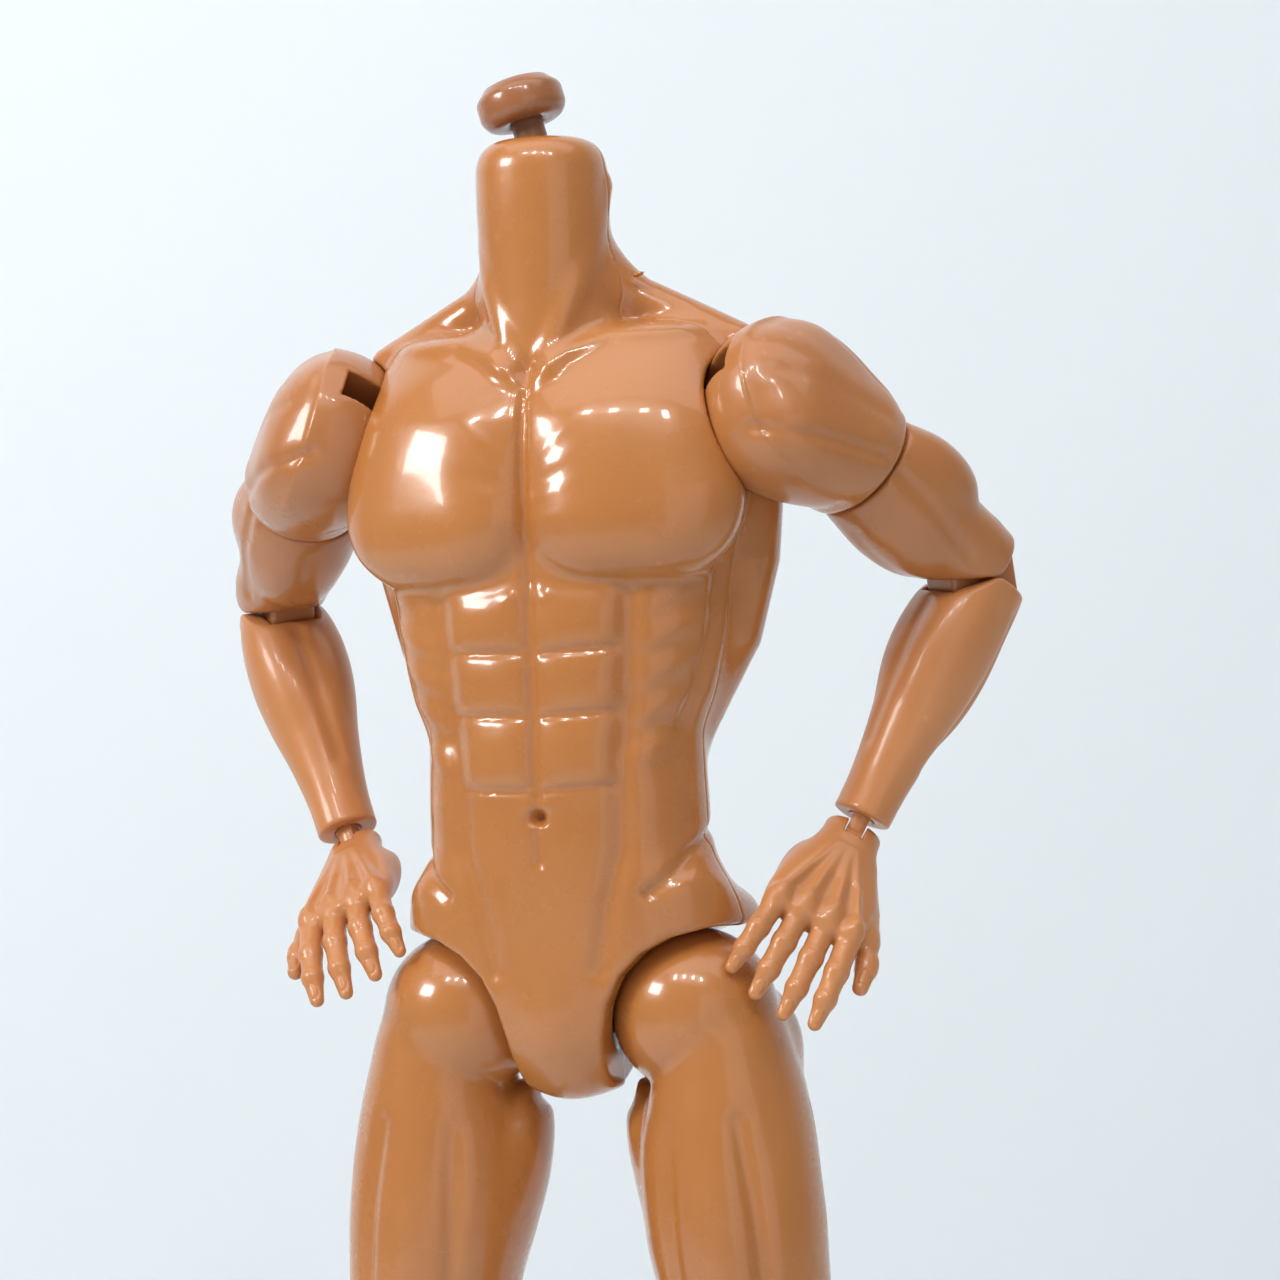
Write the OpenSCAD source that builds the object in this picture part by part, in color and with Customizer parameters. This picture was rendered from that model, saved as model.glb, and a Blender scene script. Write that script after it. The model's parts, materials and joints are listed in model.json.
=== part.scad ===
// Jointed muscular doll body, about one sixth of life size, standing with its hands by its hips.
// The figure faces -Y, its left side is +X, and the floor is Z = 0, midway between the soles.
// Both arms and both legs are the left one and its mirror image; only the wrists are turned apart.
// Every hinge has a round pin, and every swivel has a flanged peg held in a stepped bore.

/* [Torso] */
// Height of the crotch above the floor
crotch_z = 137; // [130:1:145]
// Height of the top of the leg openings
leg_top_z = 159; // [157:1:161]
// Height of the narrowest part of the waist
waist_z = 181; // [176:1:184]
// Height of the fullest part of the chest
chest_z = 212; // [209:1:214]
// Height of the shoulder ridge
ridge_z = 236; // [234:1:238]
// Height of the top of the neck
neck_top_z = 260.3; // [256:0.1:272]
// Width of the hips
hip_w = 44; // [40:1:48]
// Width of the waist
waist_w = 37; // [32:1:42]
// Width of the chest across the back muscles
chest_w = 56; // [52:1:60]
// Depth of the chest
chest_d = 33; // [30:1:38]
// Depth of the waist
waist_d = 25; // [22:1:29]
// Diameter of the neck
neck_d = 16.8; // [14:0.2:18]
// Wall of the torso shells
shell_wall = 1.8; // [1.4:0.1:2.2]
// Width of the torso between the leg openings
crotch_w = 12; // [10:0.5:13]

/* [Neck plug] */
// Sideways lean of the plug
plug_lean = 15; // [0:1:20]
// Diameter of the plug
plug_d = 11.4; // [9:0.1:13]
// Thickness of the plug
plug_t = 5.6; // [4:0.1:7]
// Diameter of the stem under the plug
stem_d = 4.2; // [3.5:0.1:5]
// Diameter of the ball at the foot of the stem
neck_ball_d = 8; // [7:0.1:9]

/* [Arm] */
// Sideways distance of the shoulder from the middle
shoulder_x = 32.5; // [31.5:0.5:34]
// Height of the shoulder
shoulder_z = 224; // [222:0.5:226]
// Diameter of the round inner side of the shoulder muscle
shoulder_ball_d = 22.6; // [21:0.2:23]
// Distance from the shoulder down to the turning cut of the upper arm
bicep_cut = 12.5; // [12:0.1:14]
// Distance from the shoulder to the upper elbow pin
upper_arm_len = 33.5; // [31:0.5:40]
// Width of the upper arm
upper_arm_w = 15.6; // [14:0.2:17]
// Distance from the lower elbow pin to the wrist
forearm_len = 33.5; // [31:0.5:40]
// Width of the forearm
forearm_w = 13.4; // [12:0.2:15]
// Width of the arm at the elbow
elbow_w = 11.4; // [10.6:0.1:12.5]
// Width of the wrist
wrist_w = 8; // [7.4:0.1:9]
// Distance between the two pins of an elbow
elbow_pitch = 5; // [4.6:0.1:6]
// Backward swing of the arm
arm_swing = 48; // [40:1:52]
// Outward raise of the arm
arm_raise = 29.2; // [26:0.5:34]
// Inward turn of the upper arm
arm_twist = 30; // [20:1:36]
// Bend at each of the two elbow pins
elbow_bend = 43; // [30:1:45]
// Turn of the wrist peg, left and right
wrist_turn = [122, 138]; // [90:1:180]
// Backward bend of the wrist, left and right
wrist_bend = [30, 38]; // [0:1:44]

/* [Hand] */
// Length of the palm from the wrist pin
palm_len = 15; // [13:0.5:17]
// Width of the palm at the knuckles
palm_w = 14; // [12.5:0.5:15]
// Thickness of the palm
palm_t = 5.2; // [4.6:0.1:6]
// Length of the middle finger
finger_len = 13; // [11:0.5:15]
// Diameter of a finger at its root
finger_d = 3.1; // [2.7:0.1:3.3]

/* [Leg] */
// Sideways distance of the hip from the middle
hip_x = 15.6; // [15:0.1:16.2]
// Height of the hip
hip_z = 148; // [147:0.5:149]
// Outward spread of the leg
leg_spread = 7.5; // [4:0.5:10]
// Diameter of the round head of the thigh
thigh_ball_d = 21; // [20:0.2:21.4]
// Distance from the hip to the upper knee pin
thigh_len = 66; // [60:1:74]
// Distance from the lower knee pin to the foot of the shin
shin_len = 51; // [46:1:60]
// Width of the thigh
thigh_w = 23; // [20:0.5:24]
// Width of the knee
knee_w = 16; // [15:0.2:18]
// Width of the calf
calf_w = 16.4; // [15:0.2:19]
// Width of the ankle
ankle_w = 10; // [9:0.2:11]
// Distance between the two pins of a knee
knee_pitch = 8; // [7.4:0.1:9]
// Length of the foot
foot_len = 44; // [38:1:48]
// Width of the foot across the ball
foot_w = 16; // [14:0.5:18]
// Outward turn of the foot
toe_out = 12; // [0:1:20]

/* [Joints] */
// Diameter of the shoulder and hip pins
big_pin_d = 2.4; // [2:0.1:3]
// Diameter of the elbow pins
elbow_pin_d = 2; // [1.6:0.1:2.2]
// Diameter of the knee pins
knee_pin_d = 2.6; // [2:0.1:3]
// Diameter of the wrist pin
wrist_pin_d = 1.2; // [1:0.1:1.4]
// Radial play of a pin or peg that turns
run_gap = 0.05; // [0.03:0.01:0.1]
// Radial play of a pin that is pressed in
press_gap = 0.01; // [0.01:0.01:0.02]
// Play at each side of a plate in its slot
slot_gap = 0.15; // [0.1:0.05:0.3]
// Play round the shoulder and hip balls
ball_gap = 0.4; // [0.3:0.1:0.6]
// Play between two turning end faces
face_gap = 0.2; // [0.1:0.05:0.4]

/* [Hidden] */
$fn = 48;

skin_colour = "#c98a55";
limb_colour = "#c68458";
joint_colour = "#a8683a";
pin_colour = "#b9bcc0";

far = 60;                  // longer than any cut has to be
stand_y = 2.643;            // moves the whole figure so that it stands over the origin
// Number of points in each ring of a lofted body
ring_points = 28;
finger_points = 10;

// Shoulder and hip
shoulder_cup_r = shoulder_ball_d / 2 + ball_gap;
hub_shaft_d = 6;
hub_flange_d = 9;
hub_flange_t = 1.5;
shoulder_seat_x = shoulder_x - 16;
tongue_t = 4;
tongue_w = 6;
shoulder_eye_d = 7.4;
raise_least = 8;           // raise at which the shoulder slot ends
raise_most = 85;
thigh_cup_r = thigh_ball_d / 2 + ball_gap;
hip_shaft_d = 5;
hip_flange_d = 7;
hip_flange_t = 1.2;
hip_block_w = 9.4;
hip_seat_x = 2.2;          // outer end of the room for the hip hubs' flanges
neck_ball_z = neck_top_z - 4.5;
plug_rise = 7.2;           // from the ball's centre to the underside of the plug
plug_low = 1.2;            // height of the bevel under the plug
plug_high = 1.4;           // height of the bevel on top of it
plug_roof = 1.6;           // plug material over the end of the stem
spread_least = -2;
spread_most = 40;

// Turning peg between the shoulder muscle and the upper arm
bicep_peg_d = 5;
bicep_flange_d = 7;
bicep_flange_t = 1.4;
bicep_neck = 2.6;

// Elbow and knee plates
elbow_plate_t = 6.4;
elbow_plate_r = 5.1;
elbow_most = 50;           // bend at which an elbow cut closes
knee_plate_t = 5.4;
knee_plate_r = 6.8;
knee_most = 62;

// Wrist and ankle pegs
wrist_shaft_d = 3.4;
wrist_flange_d = 4.6;
wrist_plate_t = 2.2;
wrist_eye_d = 4.2;
wrist_drop = 3.3;          // from the end of the forearm to the wrist pin
ankle_shaft_d = 4;
ankle_flange_d = 5.6;
ankle_plate_t = 3;
ankle_eye_d = 5;
ankle_drop = 5;
ankle_pin_d = 1.6;
peg_flange_t = 1.2;
eye_flare = 25;            // slope of the front wall of the slot round an eye
peg_depth = 5;

// ---------- lofted bodies ----------

// One ring: centre [x, y], half width, depth to the front, depth to the back, squareness, height
function ring(centre, half_w, front, back, square, z, points = ring_points) =
    [for (i = [0:points - 1])
        let (t = i * 360 / points, c = cos(t), s = sin(t))
        [centre[0] + half_w * sign(c) * pow(abs(c), 2 / square),
         centre[1] + (s < 0 ? front : back) * sign(s) * pow(abs(s), 2 / square), z]];

// Skin over a list of rings that all have the same number of points, listed from the bottom up
module loft(rings) {
    n = len(rings[0]);
    sides = [for (k = [0:len(rings) - 2], i = [0:n - 1])
        let (a = k * n + i, b = k * n + (i + 1) % n)
        each [[a, a + n, b + n], [a, b + n, b]]];
    last = (len(rings) - 1) * n;
    bottom = [[for (i = [0:n - 1]) i]];
    top = [[for (i = [n - 1:-1:0]) last + i]];
    polyhedron([for (r = rings) each r], concat(bottom, sides, top));
}

// A ring square to a direction, for a bent finger
function bent_ring(centre, tilt, r, points) =
    [for (i = [0:points - 1])
        let (t = i * 360 / points)
        [centre[0] + r * cos(t), centre[1] + r * sin(t) * cos(tilt),
         centre[2] + r * sin(t) * sin(tilt)]];

// Round bars and a ball whose seams lie away from the planes that other cuts use
seam = 37;
module post(d, h) rotate([0, 0, seam]) cylinder(d = d, h = h);
module bar_x(d, from, to) translate([from, 0, 0]) rotate([0, 90, 0]) post(d, to - from);
module bar_y(d, from, to) translate([0, to, 0]) rotate([90, 0, 0]) post(d, to - from);
module ball(r) rotate([90, 0, 0]) sphere(r = r, $fn = 64);
// A box given by its lowest and highest corners
module span(low, high) translate(low) cube(high - low);

// ---------- places ----------

module stand() translate([0, stand_y, 0]) children();
module mirrored(side) mirror([side < 0 ? 1 : 0, 0, 0]) children();
module on_side(side) stand() mirrored(side) children();

module at_shoulder_swing(side)
    on_side(side) translate([shoulder_x, 0, shoulder_z]) rotate([arm_swing, 0, 0]) children();
module at_shoulder(side) at_shoulder_swing(side) rotate([0, -arm_raise, 0]) children();
module at_upper_arm(side) at_shoulder(side) rotate([0, 0, -arm_twist]) children();
module at_elbow(side)
    at_upper_arm(side) translate([0, 0, -upper_arm_len]) rotate([-elbow_bend, 0, 0]) children();
module at_forearm(side)
    at_elbow(side) translate([0, 0, -elbow_pitch]) rotate([-elbow_bend, 0, 0]) children();
module at_wrist(side)
    at_forearm(side) translate([0, 0, -forearm_len])
        rotate([0, 0, -wrist_turn[side > 0 ? 0 : 1]]) children();
module at_hand(side)
    at_wrist(side) translate([0, 0, -wrist_drop])
        rotate([wrist_bend[side > 0 ? 0 : 1], 0, 0]) children();

module at_hip(side) on_side(side) translate([hip_x, 0, hip_z]) children();
module at_thigh(side) at_hip(side) rotate([0, -leg_spread, 0]) children();
module at_knee(side) at_thigh(side) translate([0, 0, -thigh_len]) children();
module at_shin(side) at_knee(side) translate([0, 0, -knee_pitch]) children();
module at_ankle(side) at_shin(side) translate([0, 0, -shin_len]) rotate([0, 0, toe_out]) children();
module at_foot(side) at_ankle(side) translate([0, 0, -ankle_drop]) children();

// ---------- torso ----------

// Rings of the torso; shrink pulls every ring in by the wall
function torso_rings(shrink) =
    let (hip = hip_w / 2, waist = waist_w / 2, chest = chest_w / 2, neck = neck_d / 2,
         wd = waist_d / 2, cd = chest_d / 2)
    [for (s = [
        // height, half width, front, back, shift of the centre to the back, squareness
        [crotch_z, hip * 0.25, 7, 5, -1, 2],
        [crotch_z + 4, hip * 0.6, wd - 2.5, wd - 1, 0, 2.2],
        [hip_z, hip * 0.92, wd - 1.5, wd + 2, 0, 2.4],
        [leg_top_z, hip, wd - 0.5, wd + 2.5, 0, 2.3],
        [(leg_top_z * 2 + waist_z) / 3, (hip + waist) / 2, wd, wd + 0.5, 0, 2.2],
        [waist_z, waist, wd, wd - 1.5, 0, 2.1],
        [(waist_z * 2 + chest_z) / 3, waist * 0.6 + chest * 0.4, wd + 0.2, wd - 1, 1, 2.1],
        [chest_z - 9.5, chest * 0.91, cd - 0.5, cd - 4.5, 3, 2.2],
        [chest_z - 5.5, chest * 0.97, cd + 2.8, cd - 4, 3, 2.4],
        [chest_z + 2, chest, cd + 3, cd - 2.5, 3, 2.4],
        [chest_z + 10, chest * 0.97, cd + 1, cd - 2, 3, 2.4],
        [ridge_z - 6, chest * 0.9, cd - 4, cd - 3, 2.5, 2.3],
        [ridge_z, chest * 0.76, cd - 7.5, cd - 5, 2, 2.2],
        [ridge_z + 4, neck + 5.5, neck + 1, neck + 2.5, 1, 2],
        [ridge_z + 9, neck + 0.9, neck, neck + 1.6, 0.5, 2],
        [neck_top_z - 8, neck, neck, neck, 0, 2],
        [neck_top_z - 2.2, neck - 0.3, neck - 0.3, neck - 0.3, 0, 2],
        [neck_top_z, neck - 2.2, neck - 2.2, neck - 2.2, 0, 2]])
        ring([0, s[4]], s[1] - shrink, s[2] - shrink, s[3] - shrink, s[5], s[0])];

module torso_outside() loft(torso_rings(0));

module torso_hollow() {
    rings = torso_rings(shell_wall);
    loft([for (i = [1:len(rings) - 3]) rings[i]]);
}

// Leg openings: high arcs cut through the front or the back of the hips
module leg_opening(inner_slope) {
    half = crotch_w / 2;
    top = leg_top_z + 0.5;
    translate([0, far, 0]) rotate([90, 0, 0]) linear_extrude(2 * far)
        polygon([[half, crotch_z - far], [half, crotch_z + 4], [half + 1.2, crotch_z + 9],
                 [half + inner_slope, crotch_z + 15.5], [half + 2 * inner_slope, crotch_z + 19.5],
                 [hip_x + 1, top], [hip_w, top], [hip_w, crotch_z - far]]);
}

// Round recess for a shoulder, or with a wall added the cup that closes the recess inside
module shoulder_cup(wall) translate([shoulder_x, 0, shoulder_z]) ball(shoulder_cup_r + wall);

// Flat-faced boss inside the shoulder cup, where the flange of the hub bears
module shoulder_boss() translate([shoulder_x, 0, shoulder_z])
    bar_x(hub_flange_d + 2, shoulder_seat_x - shoulder_x, -shoulder_cup_r);

// Bores for both hubs of one side, and the round room in which the head of the thigh turns
module hub_bores() {
    translate([shoulder_x, 0, shoulder_z]) bar_x(hub_shaft_d + 2 * run_gap, -shoulder_x / 2, 0);
    translate([hip_x, 0, hip_z]) {
        bar_x(2 * thigh_cup_r, -hip_x + crotch_w / 2 + 0.3, far);
        bar_x(hip_shaft_d + 2 * run_gap, -hip_x - 1, 0);
    }
}

// Room for the flanges of both hip hubs, in the block between the legs
module hip_flange_groove()
    translate([0, 0, hip_z]) bar_x(hip_flange_d + 2 * run_gap, -hip_seat_x, hip_seat_x);

module hip_block()
    span([-hip_block_w / 2, -far, hip_z - 5.5], [hip_block_w / 2, far, hip_z + 5.5]);

// Solid top of the neck, with a round socket for the ball of the stem
module neck_socket_block() span([-far, -far, neck_ball_z - 6], [far, far, neck_top_z]);
module neck_socket() translate([0, 0, neck_ball_z]) {
    rotate([90, 0, 0]) sphere(d = neck_ball_d + 2 * run_gap);
    rotate([0, 0, seam]) cylinder(r1 = 0.6, r2 = 5.6, h = neck_top_z - neck_ball_z + 0.1);
}

// One shell of the torso, from the outside between y = from and y = to
module torso_shell(from, to, opening_slope) difference() {
    intersection() {
        torso_outside();
        span([-far, from, 0], [far, to, far * 6]);
    }
    difference() {
        torso_hollow();
        for (side = [-1, 1]) mirrored(side) {
            shoulder_cup(shell_wall);
            shoulder_boss();
        }
        hip_block();
        neck_socket_block();
    }
    for (side = [-1, 1]) mirrored(side) {
        shoulder_cup(0);
        hub_bores();
        leg_opening(opening_slope);
    }
    hip_flange_groove();
    neck_socket();
}

module torso_front() color(skin_colour) stand() torso_shell(-far, 0, 2.2);
module torso_back() color(skin_colour) stand() torso_shell(0, far, 1);

// ---------- neck plug ----------

module at_neck() stand() translate([0, 0, neck_ball_z]) rotate([0, -plug_lean, 0]) children();
module neck_stem() color(joint_colour) at_neck() {
    sphere(d = neck_ball_d);
    post(stem_d, plug_rise + plug_t - plug_roof);
}

module head_plug() color(skin_colour) at_neck() translate([0, 0, plug_rise]) difference() {
    r = plug_d / 2;
    rotate([0, 0, seam]) rotate_extrude()
        polygon([[0, 0], [r - 1.2, 0], [r, plug_low], [r, plug_t - plug_high],
                 [r - 1.5, plug_t], [0, plug_t]]);
    translate([0, 0, -1]) post(stem_d + 2 * run_gap, plug_t - plug_roof + 1 + face_gap);
}

// ---------- parts shared by arms and legs ----------

function toward(angle, r) = r * [cos(angle), sin(angle)];

// Space that the flat tongue of a hub sweeps inside a ball, as the ball turns about Y
module tongue_slot(eye_d, width, least, most, reach) {
    t = tongue_t + 2 * slot_gap;
    h = width / 2 + slot_gap;
    low = 180 - least;
    high = 180 - most;
    bar_y(eye_d + 2 * slot_gap, -t / 2, t / 2);
    translate([0, t / 2, 0]) rotate([90, 0, 0]) linear_extrude(t)
        polygon([toward(low + 90, h), toward(low + 90, h) + toward(low, reach),
                 toward((low + high) / 2, reach * 1.4),
                 toward(high - 90, h) + toward(high, reach), toward(high - 90, h)]);
}

// Material beyond the end of a bone, below a hinge pin at the origin: flat on one side of the
// pin and round on the side that closes, so that the bone can bend by the angle most.
// closes is -1 where the front closes and +1 where the back does.
module bend_cut(radius, most, closes) {
    steps = 4;
    arc = [for (i = [0:steps]) let (a = -90 + closes * most * i / steps) radius * [cos(a), sin(a)]];
    end_angle = -90 + closes * most;
    tip = arc[steps] + far * [-sin(end_angle), cos(end_angle)] * closes;
    rotate([90, 0, 90]) translate([0, 0, -far / 2]) linear_extrude(far)
        polygon(concat([[-closes * far, -far], [-closes * far, -radius]], arc, [tip],
                       [[closes * far, -far]]));
}

// Points of an arc about the origin
function arc(r, from, to, steps = 20) =
    [for (i = [0:steps]) toward(from + (to - from) * i / steps, r)];

// Plate of an outline drawn in the Y-Z plane, in the middle of X
module plate(thick, outline)
    rotate([90, 0, 90]) translate([0, 0, -thick / 2]) linear_extrude(thick) polygon(outline);

// Slot for a knuckle plate: round about the pin, and open away from the bone as far as it bends
module plate_slot(plate_t, plate_r, most, closes) {
    r = plate_r + face_gap;
    mirror([0, closes > 0 ? 1 : 0, 0])
        plate(plate_t + 2 * slot_gap,
              concat(arc(r, 0, 180 - most),
                     [toward(180 - most, r) + toward(270 - most, far), [r, -far]]));
}

// Plate with two round ends that joins two bones through two pins
module knuckle(plate_t, plate_r, pitch, pin_d) difference() {
    plate(plate_t, concat(arc(plate_r, 0, 180), [for (p = arc(plate_r, 180, 360)) p - [0, pitch]]));
    for (z = [0, -pitch]) translate([0, 0, z]) bar_x(pin_d + 2 * press_gap, -far / 4, far / 4);
}

// Bore through a bone for a hinge pin at the origin
module pin_bore(pin_d) bar_x(pin_d + 2 * run_gap, -far / 4, far / 4);

// Stepped bore that holds a flanged peg, running up from an end face at the origin
module peg_bore(shaft_d, flange_d, flange_t, depth) {
    translate([0, 0, -1]) post(shaft_d + 2 * run_gap, depth + 1);
    translate([0, 0, depth - flange_t - run_gap])
        post(flange_d + 2 * run_gap, flange_t + 2 * run_gap);
}

// Flanged peg with a flat eye below it for a hinge pin
module eye_peg(shaft_d, flange_d, plate_t, eye_d, drop, pin_d) difference() {
    union() {
        post(shaft_d, peg_depth);
        translate([0, 0, peg_depth - peg_flange_t]) post(flange_d, peg_flange_t);
        intersection() {
            translate([0, 0, -drop]) post(shaft_d, drop + 0.1);
            span([-plate_t / 2, -far, -far], [plate_t / 2, far, far]);
        }
        translate([0, 0, -drop]) bar_x(eye_d, -plate_t / 2, plate_t / 2);
    }
    translate([0, 0, -drop]) bar_x(pin_d + 2 * run_gap, -far / 4, far / 4);
}

// Slot for the flat eye of a peg, open upwards and to the back, round below and in front
module eye_slot(plate_t, eye_d) {
    t = plate_t + 2 * slot_gap;
    r = eye_d / 2 + face_gap;
    steps = 5;
    rotate([90, 0, 90]) translate([0, 0, -t / 2]) linear_extrude(t)
        polygon(concat([[far / 3, far / 3], [far / 3, -r]],
                       [for (i = [0:steps]) toward(-90 - (90 - eye_flare) * i / steps, r)],
                       [toward(180 + eye_flare, r) + toward(90 + eye_flare, far / 3)]));
}

// Hub: flanged shaft along X that ends in a flat eye at the joint's centre
module hub(shaft_d, flange_d, flange_t, seat, ball_r, eye_d) difference() {
    // The corners of the tongue lie just inside the round shaft
    tongue_half = sqrt(pow(shaft_d / 2, 2) - pow(tongue_t / 2, 2)) - 0.06;
    union() {
        bar_x(flange_d, seat - flange_t, seat);
        bar_x(shaft_d, seat - flange_t / 2, -ball_r - 0.1);
        span([-ball_r - 1, -tongue_t / 2, -tongue_half], [0, tongue_t / 2, tongue_half]);
        bar_y(eye_d, -tongue_t / 2, tongue_t / 2);
    }
    bar_y(big_pin_d + 2 * run_gap, -far / 4, far / 4);
}

// ---------- arm ----------

module shoulder_hub(side) color(joint_colour) at_shoulder_swing(side)
    hub(hub_shaft_d, hub_flange_d, hub_flange_t, shoulder_seat_x - shoulder_x - face_gap / 2,
        shoulder_ball_d / 2 - 0.2, shoulder_eye_d);

shoulder_pin_front = 7.5;
module shoulder_pin(side) color(pin_colour) at_shoulder(side)
    bar_y(big_pin_d, -shoulder_pin_front, shoulder_ball_d / 2 - 0.6);

// One ring of the shoulder muscle: round on the inside, and fuller on the outside by bulge, or
// flatter where bulge is negative
function shoulder_ring(z, bulge, depth) =
    let (c = sqrt(pow(shoulder_ball_d / 2, 2) - z * z))
    ring([bulge / 2, 0], c + bulge / 2, max(c, depth), max(c, depth), 2, z);

module deltoid(side) color(skin_colour) at_shoulder(side) difference() {
    r = shoulder_ball_d / 2;
    w = upper_arm_w / 2;
    loft([ring([0.2, 0], w, w + 0.3, w + 0.3, 2.2, -bicep_cut),
          shoulder_ring(-0.8 * r, 1.6, w + 1.4),
          shoulder_ring(-0.55 * r, -0.9, w + 2),
          shoulder_ring(-0.25 * r, -2.4, 0),
          shoulder_ring(0.05 * r, -3, 0),
          shoulder_ring(0.35 * r, -2.8, 0),
          shoulder_ring(0.62 * r, -2.2, 0),
          shoulder_ring(0.83 * r, -1.2, 0),
          shoulder_ring(0.96 * r, -0.4, 0)]);
    tongue_slot(shoulder_eye_d, tongue_w, raise_least, raise_most, r + 3);
    bar_y(big_pin_d + 2 * press_gap, -shoulder_pin_front - 0.1, far / 4);
    translate([0, 0, -bicep_cut])
        peg_bore(bicep_peg_d, bicep_flange_d, bicep_flange_t, bicep_neck + bicep_flange_t);
}

module upper_arm(side) color(skin_colour) at_upper_arm(side) {
    w = upper_arm_w / 2;
    e = elbow_w / 2;
    top = -bicep_cut - face_gap;
    run = upper_arm_len + elbow_plate_r * 0.6 - bicep_cut;
    difference() {
        loft([ring([0, 0], e, e, e, 2.4, top - run),
              ring([0, 0], e + 0.1, e + 0.1, e + 0.2, 2.4, top - run * 0.8),
              ring([0, -0.4], e + 0.9, e + 1, e + 1.2, 2.2, top - run * 0.55),
              ring([0, -0.8], w - 0.3, w, w - 0.3, 2.1, top - run * 0.3),
              ring([0, -0.4], w, w + 0.2, w, 2.1, top - run * 0.12),
              ring([0, 0], w - 0.5, w, w - 0.2, 2.1, top)]);
        translate([0, 0, -upper_arm_len]) {
            plate_slot(elbow_plate_t, elbow_plate_r, elbow_most, -1);
            pin_bore(elbow_pin_d);
            bend_cut((elbow_pitch - face_gap) / 2, elbow_most, -1);
        }
    }
    translate([0, 0, top - 0.5]) post(bicep_peg_d, 0.5 + face_gap + bicep_neck + 0.1);
    translate([0, 0, top + face_gap + bicep_neck]) post(bicep_flange_d, bicep_flange_t);
}

module elbow_knuckle(side) color(skin_colour) at_elbow(side)
    knuckle(elbow_plate_t, elbow_plate_r, elbow_pitch, elbow_pin_d);

module elbow_pins(side) color(pin_colour) at_elbow(side) {
    half = elbow_w / 2 - 0.9;
    bar_x(elbow_pin_d, -half, half);
    translate([0, 0, -elbow_pitch]) bar_x(elbow_pin_d, -half, half);
}

module forearm(side) color(limb_colour) at_forearm(side) {
    w = forearm_w / 2;
    e = elbow_w / 2;
    v = wrist_w / 2;
    run = forearm_len;
    difference() {
        loft([ring([0, 0], v, v * 0.85, v * 0.85, 2.2, -run),
              ring([0, 0], v + 0.1, v * 0.95, v * 0.9, 2.2, -run * 0.88),
              ring([0, 0], (w + v) / 2 + 0.3, (w + v) / 2, (w + v) / 2, 2.1, -run * 0.62),
              ring([0.2, 0], w, w - 0.2, w - 0.6, 2.1, -run * 0.32),
              ring([0.2, 0], w, w - 0.4, w - 0.6, 2.2, -run * 0.18),
              ring([0, 0], e + 0.1, e, e, 2.3, 0),
              ring([0, 0], e - 0.2, e - 0.2, e - 0.2, 2.4, elbow_plate_r * 0.6)]);
        mirror([0, 0, 1]) {
            plate_slot(elbow_plate_t, elbow_plate_r, elbow_most, -1);
            bend_cut((elbow_pitch - face_gap) / 2, elbow_most, -1);
        }
        pin_bore(elbow_pin_d);
        translate([0, 0, -run]) peg_bore(wrist_shaft_d, wrist_flange_d, peg_flange_t, peg_depth);
    }
}

module wrist_peg(side) color(skin_colour) at_wrist(side)
    eye_peg(wrist_shaft_d, wrist_flange_d, wrist_plate_t, wrist_eye_d, wrist_drop, wrist_pin_d);

module wrist_pin(side) color(pin_colour) at_hand(side)
    bar_x(wrist_pin_d, -wrist_w / 2 + 0.8, wrist_w / 2 - 0.8);

// Sideways place, length and splay of each finger, from the thumb's side
fingers = [[-0.37, 0.92, 4], [-0.13, 1, 1], [0.12, 0.94, -3], [0.36, 0.78, -8]];
finger_curl = 38;

module finger(root, length, root_d, splay, curl) {
    steps = 5;
    function along(i) = i / steps;
    translate(root) rotate([0, splay, 0]) loft([for (k = [steps:-1:0])
        let (f = along(k), tilt = curl * f,
             r = root_d / 2 * (k == steps ? 0.55 : 1 - 0.2 * f))
        bent_ring([0, -length * (1 - cos(tilt)) * 0.85, -length * f * (1 - 0.07 * f)],
                  tilt * 0.6, r, finger_points)]);
}

module hand(side) color(limb_colour) at_hand(side) difference() {
    w = palm_w / 2;
    t = palm_t / 2;
    v = wrist_w / 2;
    union() {
        loft([ring([0.2, -0.3], w * 0.86, t * 0.72, t * 0.72, 2.6, -palm_len),
              ring([0.1, -0.2], w, t * 0.95, t * 0.85, 2.6, -palm_len + 2.4),
              ring([0, 0], w * 0.93, t * 1.1, t * 0.9, 2.4, -palm_len * 0.55),
              ring([0, 0], v + 0.6, t * 1.05, t * 0.95, 2.2, -palm_len * 0.25),
              ring([0, 0], v - 0.3, t, t, 2.2, 0),
              ring([0, 0], v - 0.3, t * 0.7, t * 0.7, 2.2, 1.8)]);
        for (f = fingers)
            finger([f[0] * palm_w, -0.3, -palm_len + 1.8], finger_len * f[1] + 1.8, finger_d, f[2],
                   finger_curl);
        finger([-w + 1.6, -0.8, -palm_len * 0.38], finger_len * 0.86 + 1, finger_d * 1.12, 34, 24);
    }
    eye_slot(wrist_plate_t, wrist_eye_d);
    bar_x(wrist_pin_d + 2 * press_gap, -wrist_w / 2 + 0.8, wrist_w / 2 - 0.8);
}

// ---------- leg ----------

module hip_hub(side) color(joint_colour) at_hip(side)
    hub(hip_shaft_d, hip_flange_d, hip_flange_t, hip_seat_x - hip_x - face_gap / 2,
        thigh_ball_d / 2 + 0.1, shoulder_eye_d - 0.6);

module hip_pin(side) color(pin_colour) at_thigh(side)
    bar_y(big_pin_d, -7, thigh_ball_d / 2 - 1);

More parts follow.
